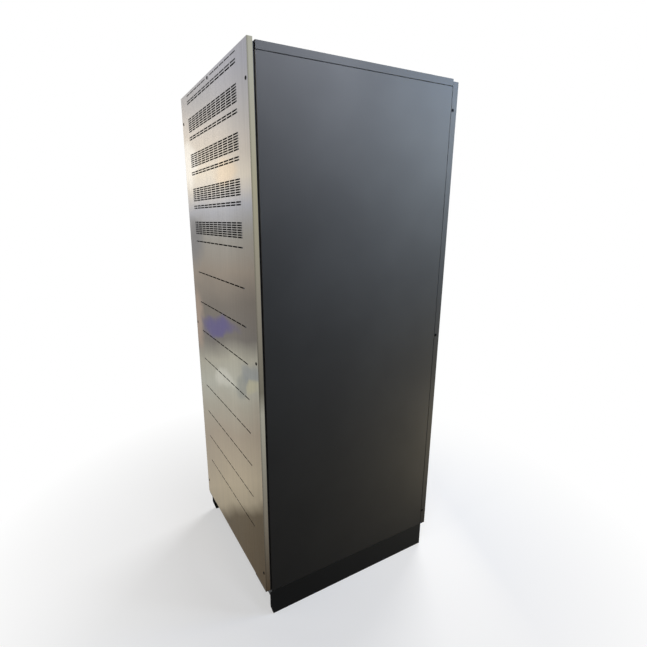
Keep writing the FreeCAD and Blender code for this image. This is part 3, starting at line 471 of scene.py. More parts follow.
def make_plated(name, colour, roughness):
    """Zinc-plated or rolled metal with faint cloudy patches and a short grain."""
    material, tree, shader = new_finish(name, colour, 1.0, roughness)
    cloud = pattern(tree, 30.0, detail=4.0)
    grain = pattern(tree, 1.0, (60, 700, 700))
    vary(tree, shader, colour, cloud, (0.8, 1.15), roughness, grain, 0.07)
    raise_by(tree, shader, grain, 0.00003, 0.4)
    return material


def make_plastic(name, colour, roughness, grain_size=1500.0, depth=0.00003):
    """Moulded plastic with the fine texture of its tool."""
    material, tree, shader = new_finish(name, colour, 0.0, roughness)
    grain = pattern(tree, grain_size, detail=2.0)
    vary(tree, shader, colour, grain, (0.88, 1.15), roughness, grain, 0.05)
    raise_by(tree, shader, grain, depth, 0.4)
    return material


cabinet_paint = make_paint("cabinet_paint", (0.063, 0.061, 0.057), 0.5, specular=0.02)
plinth_paint = make_paint("plinth_paint", (0.033, 0.033, 0.032), 0.5, specular=0.02)
frame_paint = make_paint("frame_paint", (0.035, 0.037, 0.041), 0.55)
drawer_paint = make_paint("drawer_paint", (0.028, 0.03, 0.034), 0.48)
zinc_steel = make_plated("zinc_steel", (0.52, 0.53, 0.54), 0.38)
screw_steel = make_paint("screw_steel", (0.005, 0.005, 0.006), 0.55, specular=0.02)
copper = make_plated("copper", (0.70, 0.36, 0.20), 0.34)
bezel_plastic = make_plastic("bezel_plastic", (0.022, 0.023, 0.026), 0.5)
rotor_plastic = make_plastic("rotor_plastic", (0.012, 0.012, 0.013), 0.4)
knob_plastic = make_plastic("knob_plastic", (0.014, 0.014, 0.015), 0.42)
switch_plastic = make_plastic("switch_plastic", (0.11, 0.115, 0.12), 0.5)
strip_plastic = make_plastic("strip_plastic", (0.02, 0.021, 0.024), 0.5)
battery_plastic = make_plastic("battery_plastic", (0.06, 0.064, 0.072), 0.45, 500.0)
insulator_plastic = make_plastic("insulator_plastic", (0.42, 0.39, 0.33), 0.55)
print("finishes:", len(bpy.data.materials))

# %% [markdown]
# Every carried-over solid keeps its own mesh and gets the finish of its slot. The later cells
# put a copy with rounded edges or a more detailed piece in its place, which hides the solid.

# %% Finish for every solid of the cabinet
FINISHES = {
    "cover_steel": cover_steel, "cabinet_paint": cabinet_paint, "plinth_paint": plinth_paint,
    "frame_paint": frame_paint, "zinc_steel": zinc_steel, "screw_paint": screw_steel,
    "bezel_plastic": bezel_plastic, "drawer_paint": drawer_paint,
    "rotor_plastic": rotor_plastic, "battery_plastic": battery_plastic,
    "strip_board": strip_plastic, "copper": copper, "insulator": insulator_plastic,
    "switch_plastic": switch_plastic, "knob_plastic": knob_plastic,
}
slot_of = {entry["node"]: entry["material_slot"] for entry in frame["record"]["subparts"]}
body_of = {
    node: body for body, members in frame["record"]["behaviour"]["bodies"].items()
    for node in members
}
for name, node in nodes.items():
    node.data.materials.clear()
    node.data.materials.append(FINISHES[slot_of[name]])
print("finished solids:", len(nodes))

# %% [markdown]
# Folded sheet never has a knife edge: each fold keeps a radius of about its own thickness. A
# solid from the CAD model has sharp folds, so a copy of it is merged, its flat faces are
# joined up again and its outer edges get a small bevel. The copy then stands for the solid.


# %% Copies of solids with rounded edges
def joined_copy(node):
    """A copy of a solid whose loose triangles are merged, free of the solid's own marks."""
    piece = own_copy(nodes[node], node + "_formed")
    for key in list(piece.keys()):
        del piece[key]
    piece.parent = None
    open_whole(piece)
    bpy.ops.mesh.remove_doubles(threshold=MERGE_DISTANCE)
    close_mesh()
    return piece


formed = []


def form(widths, segments=2):
    """Makes rounded copies that stand for solids, from a bevel width in mm for each."""
    for node, width in widths.items():
        piece = joined_copy(node)
        open_whole(piece)
        bpy.ops.mesh.dissolve_limited(angle_limit=math.radians(1), use_dissolve_boundaries=False)
        close_mesh()
        bevel(piece, width * MM, segments)
        smooth(piece)
        slot = slot_of[node]
        finish_piece(piece, body_of[node], FINISHES[slot], (node,))
        formed.append(piece)


form({
    "side_panel_left": 0.66, "side_panel_right": 0.66, "roof_panel": 0.715,
    "front_fascia": 0.825, "plinth_skirt_left": 0.44, "plinth_skirt_right": 0.44,
    "kick_plate": 0.44,
})
print("rounded copies:", len(formed))

# %% [markdown]
# The solids give the size and place of every screw, block and clamp. Their meshes are loose
# triangles, so points with the same place are counted as one, and what hangs together is one
# solid. The boxes of those solids then carry the detailed pieces.


# %% Boxes of the separate solids in a node
def solid_boxes(node):
    """Lowest and highest corner of each separate solid of a node, sorted by place."""
    leader = {}

    def lead(key):
        while leader[key] != key:
            leader[key] = leader[leader[key]]
            key = leader[key]
        return key

    mesh = nodes[node].data
    for face in mesh.polygons:
        keys = [tuple(round(value, 5) for value in mesh.vertices[index].co)
                for index in face.vertices]
        for key in keys:
            leader.setdefault(key, key)
        for key in keys[1:]:
            leader[lead(key)] = lead(keys[0])
    groups = {}
    for key in leader:
        groups.setdefault(lead(key), []).append(key)
    boxes = [(Vector(map(min, zip(*keys))), Vector(map(max, zip(*keys))))
             for keys in groups.values()]
    return sorted(boxes, key=lambda box: tuple(round(value, 4) for value in box[0]))


screw_boxes = solid_boxes("cabinet_screws")
print("screw heads:", len(screw_boxes))


# %% Faces picked by their place, and turned pieces
def open_faces(piece, test):
    """Opens a piece in edit mode with the faces selected that pass a test."""
    pick(piece)
    bpy.ops.object.mode_set(mode="EDIT")
    bpy.ops.mesh.select_mode(type="FACE")
    bpy.ops.mesh.select_all(action="DESELECT")
    close_mesh()
    for face in piece.data.polygons:
        face.select = test(face.center, face.normal)
    bpy.ops.object.mode_set(mode="EDIT")


def looks_up(middle, normal):
    """Passes the faces that look up."""
    return normal.z > FACING


def looks_front(middle, normal):
    """Passes the faces that look to the front."""
    return normal.y < -FACING


def sink(piece, test, rim, shift):
    """Insets the faces that pass a test and moves them by a step."""
    open_faces(piece, test)
    bpy.ops.mesh.inset(thickness=rim)
    bpy.ops.mesh.extrude_region_move(TRANSFORM_OT_translate={"value": shift})
    close_mesh()


def spun_piece(name, outline, steps):
    """Extrudes a point along (radius, height) pairs and spins the line about the Z axis."""
    deselect()
    bpy.ops.mesh.primitive_plane_add(size=0.001, location=(0, 0, 0))
    piece = bpy.context.object
    piece.name = name
    open_whole(piece)
    bpy.ops.mesh.select_mode(type="VERT")
    bpy.ops.mesh.merge(type="CENTER")
    radius, height = outline[0]
    bpy.ops.transform.translate(value=(radius, 0, height))
    for (radius, height), (next_radius, next_height) in zip(outline, outline[1:]):
        step = (next_radius - radius, 0, next_height - height)
        bpy.ops.mesh.extrude_vertices_move(TRANSFORM_OT_translate={"value": step})
    bpy.ops.mesh.select_all(action="SELECT")
    bpy.ops.mesh.spin(steps=steps, angle=math.tau, center=(0, 0, 0), axis=(0, 0, 1))
    close_mesh()
    outward(piece)
    return piece


def turned_copy(piece, name, place, way):
    """A copy turned from +Z to a direction and moved to a place."""
    copy = own_copy(piece, name)
    copy.rotation_euler = Vector(way).to_track_quat("Z", "Y").to_euler()
    copy.location = place
    return settle(copy)


def drop(*pieces):
    """Takes away the patterns that only served for copying."""
    pick(*pieces)
    bpy.ops.object.delete()


print("shaping helpers are ready")

# %% [markdown]
# The slots look a little higher in the photograph than in the solid. The upper and
# lower walls of every slot are moved apart by a fraction of a millimetre, all in two steps,
# because the walls can be picked by the way they face.

# %% Slots of the rear cover
SLOT_RIM = 0.6 * MM
SLOT_REACH = 0.33
SLOT_FOOT, SLOT_TOP = 0.14, 1.97
cover = joined_copy("rear_cover")
for sense in (-1, 1):
    open_faces(cover, lambda middle, normal: (
        normal.z * sense < -FACING and abs(middle.x) < SLOT_REACH
        and SLOT_FOOT < middle.z < SLOT_TOP and middle.y > COVER_FACE - COVER_SHEET))
    bpy.ops.transform.translate(value=(0, 0, sense * SLOT_RIM))
    close_mesh()
finish_piece(cover, "cabinet", cover_steel, ("rear_cover",))
print("cover faces:", len(cover.data.polygons))

# %% [markdown]
# The cover and the fascia are held by small blackened pan-head screws with a sunk socket. One
# head is spun from its profile, and copies are turned to face +Y or sideways. A boolean could
# cut the socket, but a profile that already dips in the middle keeps the mesh clean.

# %% Screw heads
SCREW_RADIUS = 5.6 * MM
SCREW_HEIGHT = 1.2 * MM
HEAD_OUTLINE = ((0, 0), (1, 0), (1, 0.45), (0.9, 0.85), (0.7, 1), (0.46, 1), (0.42, 0.25),
                (0, 0.25))


def make_screw_head(name, radius, height, sides=18):
    """A low crown with a sunk socket, standing on the plane Z = 0."""
    outline = [(radius * out, height * up) for out, up in HEAD_OUTLINE]
    head = spun_piece(name, outline, sides)
    smooth(head, 30)
    return head


def facing(box):
    """The way a low screw head faces, from the thin side of its box."""
    low, high = box
    size = high - low
    middle = (low + high) / 2
    if size.y < size.x:
        return Vector((middle.x, low.y, middle.z)), (0, 1, 0)
    side = math.copysign(1, middle.x)
    foot = low.x if side > 0 else high.x
    return Vector((foot, middle.y, middle.z)), (side, 0, 0)


screw_pattern = make_screw_head("screw_pattern", SCREW_RADIUS, SCREW_HEIGHT)
heads = []
for index, box in enumerate(screw_boxes):
    place, way = facing(box)
    heads.append(turned_copy(screw_pattern, f"screw_{index}", place, way))
drop(screw_pattern)
finish_piece(join("cabinet_screw_heads", heads), "cabinet", screw_steel,
             ("cabinet_screws",))
print("screw heads turned:", len(heads))

# %% [markdown]
# A levelling foot is a zinc-plated threaded stem in a hexagonal pad with a rubber sole. The
# stem's ridges are rings here, which look like a thread at this size without the work of a
# helix, and the profile is spun in one go. The pad is a prism whose edges are bevelled.

# %% Levelling feet
rubber = make_plastic("rubber_sole", (0.018, 0.018, 0.018), 0.75)
PAD_RADIUS = 26 * MM
PAD_HEIGHT = 14 * MM
SOLE_HEIGHT = 5 * MM
STEM_RADIUS = 8 * MM
STEM_TOP = 102 * MM
THREAD_PITCH = 3 * MM


def thread_outline(start, end):
    """Ridges between two heights, as (radius, height) pairs."""
    count = int((end - start) / THREAD_PITCH)
    points = []
    for turn in range(count):
        foot = start + turn * THREAD_PITCH
        points += [(STEM_RADIUS * 0.88, foot + THREAD_PITCH * 0.1),
                   (STEM_RADIUS, foot + THREAD_PITCH * 0.6)]
    return points


stem_outline = [(0, PAD_HEIGHT * 0.5), (STEM_RADIUS * 0.88, PAD_HEIGHT * 0.5)]
stem_outline += thread_outline(PAD_HEIGHT, STEM_TOP - 2 * MM)
stem_outline += [(STEM_RADIUS * 0.7, STEM_TOP), (0, STEM_TOP)]
stem_pattern = spun_piece("stem_pattern", stem_outline, 20)
smooth(stem_pattern, 30)
pad_pattern = turned_piece(
    "pad_pattern", (0, 0, (SOLE_HEIGHT + PAD_HEIGHT) / 2), "Z", PAD_RADIUS * 0.98,
    PAD_HEIGHT - SOLE_HEIGHT, 6
)
sink(pad_pattern, looks_up, 9 * MM, (0, 0, -1.5 * MM))
bevel(pad_pattern, 1.2 * MM, 2, 30)
smooth(pad_pattern)
sole_pattern = turned_piece(
    "sole_pattern", (0, 0, SOLE_HEIGHT / 2), "Z", PAD_RADIUS * 0.86, SOLE_HEIGHT, 32
)
bevel(sole_pattern, 1.0 * MM)
smooth(sole_pattern)
for corner in ("front_left", "rear_left", "front_right", "rear_right"):
    node = "levelling_foot_" + corner
    middle = middle_of(node)
    place = (middle.x, middle.y, 0)
    steel = join("foot_steel_" + corner, [
        copy_at(stem_pattern, "stem", place), copy_at(pad_pattern, "pad", place)])
    finish_piece(steel, body_of[node], zinc_steel, (node,))
    sole = copy_at(sole_pattern, "foot_sole_" + corner, place)
    finish_piece(sole, body_of[node], rubber)
drop(stem_pattern, pad_pattern, sole_pattern)
print("feet: 4")

# %% [markdown]
# Each power module is behind a moulded bezel. The bezel keeps the solid's shape with rounded
# edges. In front of it stand a dark display glass in its recess, four keys, three lamps and
# four captive screws; behind the grille each fan turns in a square shroud with a wire guard.

# %% Module and drawer fronts
FRONT_EDGE = 0.9
form({f"module_bezel_{number}": FRONT_EDGE for number in POWER_NUMBERS})
form({f"battery_drawer_{number}": FRONT_EDGE for number in BATTERY_NUMBERS})
print("rounded copies:", len(formed))

# %% Finishes for the operating parts
display_glass = make_plastic("display_glass", (0.006, 0.008, 0.010), 0.22, depth=0.0)
glass_shader = display_glass.node_tree.nodes["Principled BSDF"]
glass_shader.inputs["Specular IOR Level"].default_value = 0.2
key_rubber = make_plastic("key_rubber", (0.13, 0.135, 0.14), 0.6)
LAMP_COLOURS = (("green", (0.02, 0.16, 0.04)), ("amber", (0.35, 0.15, 0.01)),
                ("red", (0.22, 0.015, 0.012)))
wire_steel = make_plated("wire_steel", (0.20, 0.20, 0.205), 0.36)
captive_steel = make_plated("captive_steel", (0.13, 0.13, 0.135), 0.5)
link_sleeve = make_plastic("link_sleeve", (0.20, 0.016, 0.012), 0.45)
print("finishes:", len(bpy.data.materials))

# %% Display, keys and lamps
bezel_low, bezel_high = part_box("module_bezel_1")
front_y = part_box("switch_panel")[0].y
bay_middle = (bezel_low.z + bezel_high.z) / 2
DISPLAY_X = 166 * MM
DISPLAY_Z = bay_middle + 10 * MM
GLASS_HALF_X, GLASS_HALF_Z = 40.5 * MM, 24.5 * MM
KEY_HALF_X, KEY_HALF_Z = 6.5 * MM, 3.5 * MM
glass = box_piece(
    "glass_pattern", (DISPLAY_X - GLASS_HALF_X, front_y + 1.2 * MM, DISPLAY_Z - GLASS_HALF_Z),
    (DISPLAY_X + GLASS_HALF_X, front_y + 3.0 * MM, DISPLAY_Z + GLASS_HALF_Z)
)
sink(glass, looks_front, 4.5 * MM, (0, 0.5 * MM, 0))
bevel(glass, 0.35 * MM, 2, 30)
smooth(glass, 40)
key = box_piece("key_pattern", (-KEY_HALF_X, front_y - 1.2 * MM, -KEY_HALF_Z),
                (KEY_HALF_X, front_y + 0.5 * MM, KEY_HALF_Z))
bevel(key, 0.8 * MM, 3)
smooth(key, 45)
keys = [copy_at(key, "key", (DISPLAY_X + step * MM, 0, bay_middle - 30 * MM))
        for step in (-30, -10, 10, 30)]
key_row = join("keys_pattern", keys)
LAMP_OUTLINE = ((0, -0.5), (2.4, -0.5), (2.4, 0.3), (1.9, 0.9), (1.0, 1.25), (0, 1.35))
lamp = spun_piece("lamp_pattern", [(radius * MM, z * MM) for radius, z in LAMP_OUTLINE], 16)
smooth(lamp, 60)
lamps = []
for step, (name, colour) in zip((-12, 0, 12), LAMP_COLOURS):
    lamp_place = (DISPLAY_X + step * MM, front_y, bay_middle - 46 * MM)
    finish = make_plastic("lamp_" + name, colour, 0.2, depth=0.0)
    lamps.append((name, turned_copy(lamp, "lamp_set", lamp_place, (0, -1, 0)), finish))
print("display parts per module:", 2 + len(lamps))

# %% Captive screws with a milled rim
RIM_SIDES = 24
RIM_ANGLE = 360 / RIM_SIDES
CAPTIVE_X, CAPTIVE_Z = 249 * MM, 54 * MM
captive = turned_piece("captive_pattern", (0, 0, 2.5 * MM), "Z", 6 * MM, 5 * MM, RIM_SIDES)
open_faces(captive, lambda middle, normal: (
    abs(normal.z) < 1 - FACING and
    round(math.degrees(math.atan2(middle.y, middle.x)) / RIM_ANGLE - 0.5) % 2 == 0))
bpy.ops.mesh.inset(thickness=0.25 * MM, use_individual=True)
bpy.ops.transform.shrink_fatten(value=-0.45 * MM)
close_mesh()
sink(captive, looks_up, 1.4 * MM, (0, 0, -0.8 * MM))
bevel(captive, 0.18 * MM, 1, 50)
smooth(captive, 30)
BAY_GAP = 2 * MM
bay_step = bezel_high.z - bezel_low.z + BAY_GAP
for number in range(1, BAYS + 1):
    drop_z = (number - 1) * bay_step
    places = [(x, front_y, bay_middle - drop_z) for x in (-CAPTIVE_X, CAPTIVE_X)]
    if number in POWER_NUMBERS:
        places = [(x, y, z + step) for x, y, z in places for step in (-CAPTIVE_Z, CAPTIVE_Z)]
    body = f"power_module_{number}" if number in POWER_NUMBERS else f"battery_bay_{number}"
    copies = [turned_copy(captive, "captive", place, (0, -1, 0)) for place in places]
    finish_piece(join(f"captive_screws_{number}", copies), body, captive_steel)
    if number in BATTERY_NUMBERS:
        continue
    shift = (0, 0, -drop_z)
    finish_piece(copy_at(glass, f"display_glass_{number}", shift), body,
                 display_glass)
    finish_piece(copy_at(key_row, f"display_keys_{number}", shift), body,
                 key_rubber)
    for name, lamp_piece, finish in lamps:
        lit = copy_at(lamp_piece, f"lamp_{name}_{number}", shift)
        finish_piece(lit, body, finish)
drop(glass, key, key_row, lamp, captive, *[piece for _, piece, _ in lamps])
print("captive screws:", 4 * POWER_BAYS + 2 * (BAYS - POWER_BAYS))

# %% [markdown]
# Behind each grille two axial fans draw air in. A fan sits in a square plastic shroud, a
# bevelled block with a round hole cut by a boolean, and a guard of welded wire rings covers it.
# The rings are thin hoops, spun like the other round pieces and joined by four spokes.

# %% Fan shrouds and wire guards
shroud_plastic = make_plastic("shroud_plastic", (0.022, 0.022, 0.024), 0.5)
SHROUD_HALF = 60 * MM
SHROUD_DEPTH = 25 * MM
SHROUD_BORE = 57 * MM
SHROUD_START = bezel_high.y + 2.5 * MM
WIRE = 0.9 * MM
RING_RADII = (16, 28, 40, 52)
SPOKE_LENGTH = 52 * MM
SPOKE_MIDDLE = 40 * MM
shroud = box_piece("shroud_pattern", (-SHROUD_HALF, SHROUD_START, -SHROUD_HALF),
                   (SHROUD_HALF, SHROUD_START + SHROUD_DEPTH, SHROUD_HALF))
bevel(shroud, 4 * MM, 3)
bore = turned_piece("bore_cutter", (0, SHROUD_START + SHROUD_DEPTH / 2, 0), "Y", SHROUD_BORE,
                    SHROUD_DEPTH * 1.4, 48)
cutter = shroud.modifiers.new("bore", "BOOLEAN")
cutter.object = bore
cutter.operation = "DIFFERENCE"
apply_all(shroud)
drop(bore)
smooth(shroud)


def hoop(radius):
    """A thin wire ring about the Z axis."""
    outline = [(radius + WIRE * math.cos(turn), WIRE * math.sin(turn))
               for turn in (index * math.tau / 6 for index in range(7))]
    return spun_piece("ring", outline, 40)


guard_parts = [hoop(radius * MM) for radius in RING_RADII]
spoke = turned_piece("spoke", (0, 0, 0), "Z", WIRE, SPOKE_LENGTH, 6)
for angle in (45, 135, 225, 315):
    way = (math.cos(math.radians(angle)), math.sin(math.radians(angle)), 0)
    middle = (way[0] * SPOKE_MIDDLE, way[1] * SPOKE_MIDDLE, WIRE * 1.4)
    guard_parts.append(turned_copy(spoke, "spoke_set", middle, way))
drop(spoke)
guard = join("guard_pattern", guard_parts)
smooth(guard, 50)
for number in POWER_NUMBERS:
    body = f"power_module_{number}"
    for side in SIDES:
        middle = middle_of(f"fan_rotor_{number}_{side}")
        frame_piece = copy_at(shroud, f"fan_shroud_{number}_{side}", (middle.x, 0, middle.z))
        finish_piece(frame_piece, body, shroud_plastic)
        place = (middle.x, SHROUD_START - WIRE, middle.z)
        wires = turned_copy(guard, f"fan_guard_{number}_{side}", place, (0, -1, 0))
        finish_piece(wires, body, wire_steel)
drop(shroud, guard)
print("fans with shrouds:", 2 * POWER_BAYS)

# %% [markdown]
# A battery drawer carries 24 sealed lead blocks in three strings of eight. One block is a box
# whose lid is inset and raised, with two tab terminals; two array modifiers set the blocks side
# by side. A short insulated link bridges each pair of neighbours, so a string is in series.

# %% Battery blocks
BLOCKS_PER_STRING = 8
LID_STEP = 3 * MM
TERMINAL_HEIGHT = 5 * MM
TAB_INSET = 14 * MM
TAB_HALF_X, TAB_HALF_Y = 4 * MM, 5 * MM
strings = solid_boxes("battery_strings_5")
string_low, string_high = strings[0]
string_pitch = strings[1][0].x - strings[0][0].x
block_step = (string_high.y - string_low.y) / BLOCKS_PER_STRING
block_top = string_high.z - TERMINAL_HEIGHT
block = box_piece("block_pattern", (string_low.x, string_low.y + 0.3 * MM, string_low.z),
                  (string_high.x, string_low.y + block_step - 0.3 * MM, block_top - LID_STEP))
sink(block, looks_up, 2.2 * MM, (0, 0, LID_STEP))
bevel(block, 0.8 * MM, 1, 50)
smooth(block, 30)
tab_places = [string_low.x + TAB_INSET, string_high.x - TAB_INSET]
tabs = []
for x in tab_places:
    y = string_low.y + block_step / 2
    tab = box_piece("tab", (x - TAB_HALF_X, y - TAB_HALF_Y, block_top - 1 * MM),
                    (x + TAB_HALF_X, y + TAB_HALF_Y, block_top + 1.2 * MM))
    sink(tab, looks_up, 2.4 * MM, (0, 0, 1.6 * MM))
    tabs.append(tab)
tab_set = join("tab_pattern", tabs)


def in_rows(piece):
    """Sets a piece in eight places along a string and in three strings."""
    for count, step in ((BLOCKS_PER_STRING, (0, block_step, 0)),
                        (len(strings), (string_pitch, 0, 0))):
        array = piece.modifiers.new("array", "ARRAY")
        array.count = count
        array.use_relative_offset = False
        array.use_constant_offset = True
        array.constant_offset_displace = step
    apply_all(piece)


in_rows(block)
in_rows(tab_set)
print("blocks in a drawer:", BLOCKS_PER_STRING * len(strings))

# %% Links between the blocks
LINK_RISE = 3.0 * MM
LINK_HALF = 4.5 * MM
ARCH_HALF = 12 * MM


def make_link(x, start):
    """A flat insulated strap over two terminals, with its ends pressed down."""
    strap = box_piece("link", (x - LINK_HALF, start, block_top + 1.2 * MM),
                      (x + LINK_HALF, start + block_step, block_top + LINK_RISE))
    open_whole(strap)
    bpy.ops.mesh.subdivide(number_cuts=2)
    close_mesh()
    middle_y = start + block_step / 2
    open_faces(strap, lambda middle, normal: abs(middle.y - middle_y) < ARCH_HALF)
    bpy.ops.transform.translate(value=(0, 0, 1.2 * MM))
    close_mesh()
    bevel(strap, 0.5 * MM, 1)
    return strap


links = []
for row in range(len(strings)):
    for index in range(BLOCKS_PER_STRING - 1):
        x = tab_places[index % 2] + row * string_pitch
        links.append(make_link(x, string_low.y + block_step * (index + 0.5)))
link_set = join("link_pattern", links)
smooth(link_set, 40)
for number in BATTERY_NUMBERS:
    shift = (0, 0, -bay_step * (number - POWER_BAYS - 1))
    body = f"battery_bay_{number}"
    blocks = copy_at(block, f"battery_blocks_{number}", shift)
    finish_piece(blocks, body, battery_plastic,
                 (f"battery_strings_{number}",))
    finish_piece(copy_at(tab_set, f"battery_tabs_{number}", shift), body, wire_steel)
    finish_piece(copy_at(link_set, f"battery_links_{number}", shift), body,
                 link_sleeve)
drop(block, tab_set, link_set)
print("drawers with blocks:", BAYS - POWER_BAYS)

# %% [markdown]
# The switch zone has two rotary isolators and a battery breaker. Knobs, bodies and toggle keep
# their solids' shapes with rounded edges. The isolators get two marks at the ends of the
# quarter turn and a pale pointer line on the knob. The breaker gets a raised trim above and
# below its slot, and each of the three is held by four small screws.

# %% Switch zone
pale_print = make_plastic("pale_print", (0.62, 0.62, 0.6), 0.45)
form({"switch_bodies": 1.2, "bypass_knob": 0.6, "output_knob": 0.6, "breaker_toggle": 1.0,
      "switch_panel": 0.4})
body_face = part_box("switch_bodies")[0].y
POINTER_HALF = 0.9 * MM
MARK_REACH = 29.4 * MM
marks = []
for knob in KNOBS:
    low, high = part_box(knob)
    middle = (low + high) / 2
    tip = box_piece(
        "pointer_" + knob, (middle.x - POINTER_HALF, low.y - 0.25 * MM, high.z - 12 * MM),
        (middle.x + POINTER_HALF, low.y + 0.3 * MM, high.z - 4.5 * MM)
    )
    bevel(tip, 0.25 * MM, 1)
    finish_piece(tip, body_of[knob], pale_print)
    for sideways, upwards in ((0, 1), (1, 0)):
        x, z = middle.x + sideways * MARK_REACH, middle.z + upwards * MARK_REACH
        half_x, half_z = (0.5 + sideways) * MM, (0.5 + upwards) * MM
        mark = box_piece("mark", (x - half_x, body_face - 0.2 * MM, z - half_z),
                         (x + half_x, body_face + 0.2 * MM, z + half_z))
        bevel(mark, 0.15 * MM, 1)
        marks.append(mark)
finish_piece(join("isolator_marks", marks), "cabinet", pale_print)

TRIM_HALF = 62 * MM
TRIM_NEAR, TRIM_FAR = 21 * MM, 54 * MM
toggle_middle = middle_of("breaker_toggle")
trims = []
for z_low, z_high in ((-TRIM_FAR, -TRIM_NEAR), (TRIM_NEAR, TRIM_FAR)):
    trim = box_piece(
        "trim", (toggle_middle.x - TRIM_HALF, body_face - 1.6 * MM, toggle_middle.z + z_low),
        (toggle_middle.x + TRIM_HALF, body_face + 0.5 * MM, toggle_middle.z + z_high)
    )
    sink(trim, looks_front, 3 * MM, (0, 0.7 * MM, 0))
    bevel(trim, 0.3 * MM)
    smooth(trim, 40)
    trims.append(trim)
finish_piece(join("breaker_trim", trims), "cabinet", shroud_plastic)


def corner_screws(middle, x_step, z_step):
    """Four small screws around a place on the face of the switch bodies."""
    return [
        turned_copy(small_screw, "set", (middle.x + x, body_face, middle.z + z), (0, -1, 0))
        for z in (-z_step, z_step) for x in (-x_step, x_step)
    ]


small_screw = make_screw_head("small_screw", 2.6 * MM, 1.2 * MM, 14)
panel_screws = corner_screws(toggle_middle, 65 * MM, 55 * MM)
for knob in KNOBS:
    panel_screws += corner_screws(middle_of(knob), 27 * MM, 27 * MM)
finish_piece(join("switch_screws", panel_screws), "cabinet", wire_steel)
print("switch zone screws:", len(panel_screws))

# %% [markdown]
# Inside the rear cover, hexagon bolts hold the copper bars to the docking strips, each clamp
# has a socket screw between insulating ribs, and the cable opening has a rubber edge. They
# show through the slots and from below.

# %% Bolts, clamps and the cable edge
bar_low, bar_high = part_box("busbars")
strip_boxes = [box for box in solid_boxes("docking_strips") if (box[1] - box[0]).x > 0.4]
bar_places = sorted({round((low.x + high.x) / 2, 5) for low, high in solid_boxes("busbars")})
bolt = turned_piece("bolt_pattern", (0, 0, 2.5 * MM), "Z", 7 * MM, 5 * MM, 6)
sink(bolt, looks_up, 1.2 * MM, (0, 0, 0.4 * MM))
bolts = []
for low, high in strip_boxes:
    height = (low.z + high.z) / 2
    if bar_low.z < height < bar_high.z:
        bolts += [turned_copy(bolt, "bolt", (x, bar_high.y, height), (0, 1, 0))
                  for x in bar_places]
finish_piece(join("busbar_bolts", bolts), "cabinet", wire_steel)
form({"busbars": 0.8, "terminal_block": 1.5, "terminal_clamps": 1.0})
clamp_boxes = solid_boxes("terminal_clamps")
clamp_screw = make_screw_head("clamp_screw", 7 * MM, 2.5 * MM, 20)
clamp_heads = []
ribs = []
for low, high in clamp_boxes:
    middle = (low + high) / 2
    clamp_heads.append(turned_copy(clamp_screw, "set", (middle.x, high.y, middle.z), (0, 1, 0)))
for first, second in zip(clamp_boxes, clamp_boxes[1:]):
    x = (first[1].x + second[0].x) / 2
    rib = box_piece("rib", (x - 2 * MM, first[0].y - 2 * MM, first[0].z - 5 * MM),
                    (x + 2 * MM, first[1].y + 3 * MM, first[1].z + 5 * MM))
    bevel(rib, 0.9 * MM)
    ribs.append(rib)
finish_piece(join("clamp_screws", clamp_heads), "cabinet", wire_steel)
finish_piece(join("terminal_ribs", ribs), "cabinet", insulator_plastic)

gland_low, gland_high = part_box("gland_plate")
OPENING_HALF_X = 120 * MM
OPENING_HALF_Y = 40 * MM
OPENING_SETBACK = 185 * MM
edge_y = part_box("base_frame")[1].y - OPENING_SETBACK
edge = box_piece(
    "cable_edge", (-OPENING_HALF_X, edge_y - OPENING_HALF_Y, gland_low.z - 2 * MM),
    (OPENING_HALF_X, edge_y + OPENING_HALF_Y, gland_high.z + 3 * MM)
)
open_faces(edge, lambda middle, normal: abs(normal.z) > FACING)
bpy.ops.mesh.inset(thickness=4 * MM)
bpy.ops.mesh.bridge_edge_loops()
close_mesh()
outward(edge)
bevel(edge, 1.2 * MM)
smooth(edge, 40)
finish_piece(edge, "cabinet", rubber)
drop(small_screw, bolt, clamp_screw)
print("busbar bolts:", len(bolts), "clamps:", len(clamp_heads))

# %% Rounded folds inside the cabinet
form({"gland_plate": 0.4, "terminal_plate": 0.5, "base_frame": 0.35, "top_frame": 0.6,
      "bay_runners": 0.4, "docking_strips": 0.3, "frame_posts": 0.5}, 1)
for number in POWER_NUMBERS:
    form({f"module_chassis_{number}": 0.35}, 1)
    form({f"fan_rotor_{number}_{side}": 0.2 for side in SIDES}, 1)
print("rounded copies:", len(formed))

# %% [markdown]
# The camera stands where the photographer stood: about 1.6 m to the left of the cabinet's
# middle and half a metre behind its rear cover, 1.5 m above the floor. Its place and angles come
# from fitting the cabinet's corners, and the small shift puts the cabinet at the same place
# in the picture.

# %% Camera
bpy.ops.object.camera_add(
    location=(-1.58356, 0.92426, 1.50919),
    rotation=tuple(math.radians(angle) for angle in (75.0791, 0.5654, -118.6738)),
)
camera = bpy.context.object
camera.name = "camera"
camera.data.sensor_width = 36.0
camera.data.lens = 23.587
camera.data.shift_x = 0.0400
camera.data.shift_y = 0.0107
bpy.context.scene.camera = camera
print("camera lens:", camera.data.lens)

# %% [markdown]
# The studio is a pale floor under a white surround. The surround is white to the camera and
# to reflections, and dimmer as a light. Small soft lamps stand near the side, so that the dark
# paint is brightest at its upper front corner and fades downwards, and one more lights the
# open joint beside the cover. Their images are kept out of the bare metal.


# %% Floor, surround and lamps
def seen_directly(tree):
    """One for rays from the camera and from mirrors and glass, nought for stray light."""
    path = tree.nodes.new("ShaderNodeLightPath")
    seen = maths(tree, "MAXIMUM", path.outputs["Is Camera Ray"], path.outputs["Is Glossy Ray"])
    return maths(tree, "MAXIMUM", seen, path.outputs["Is Transmission Ray"])


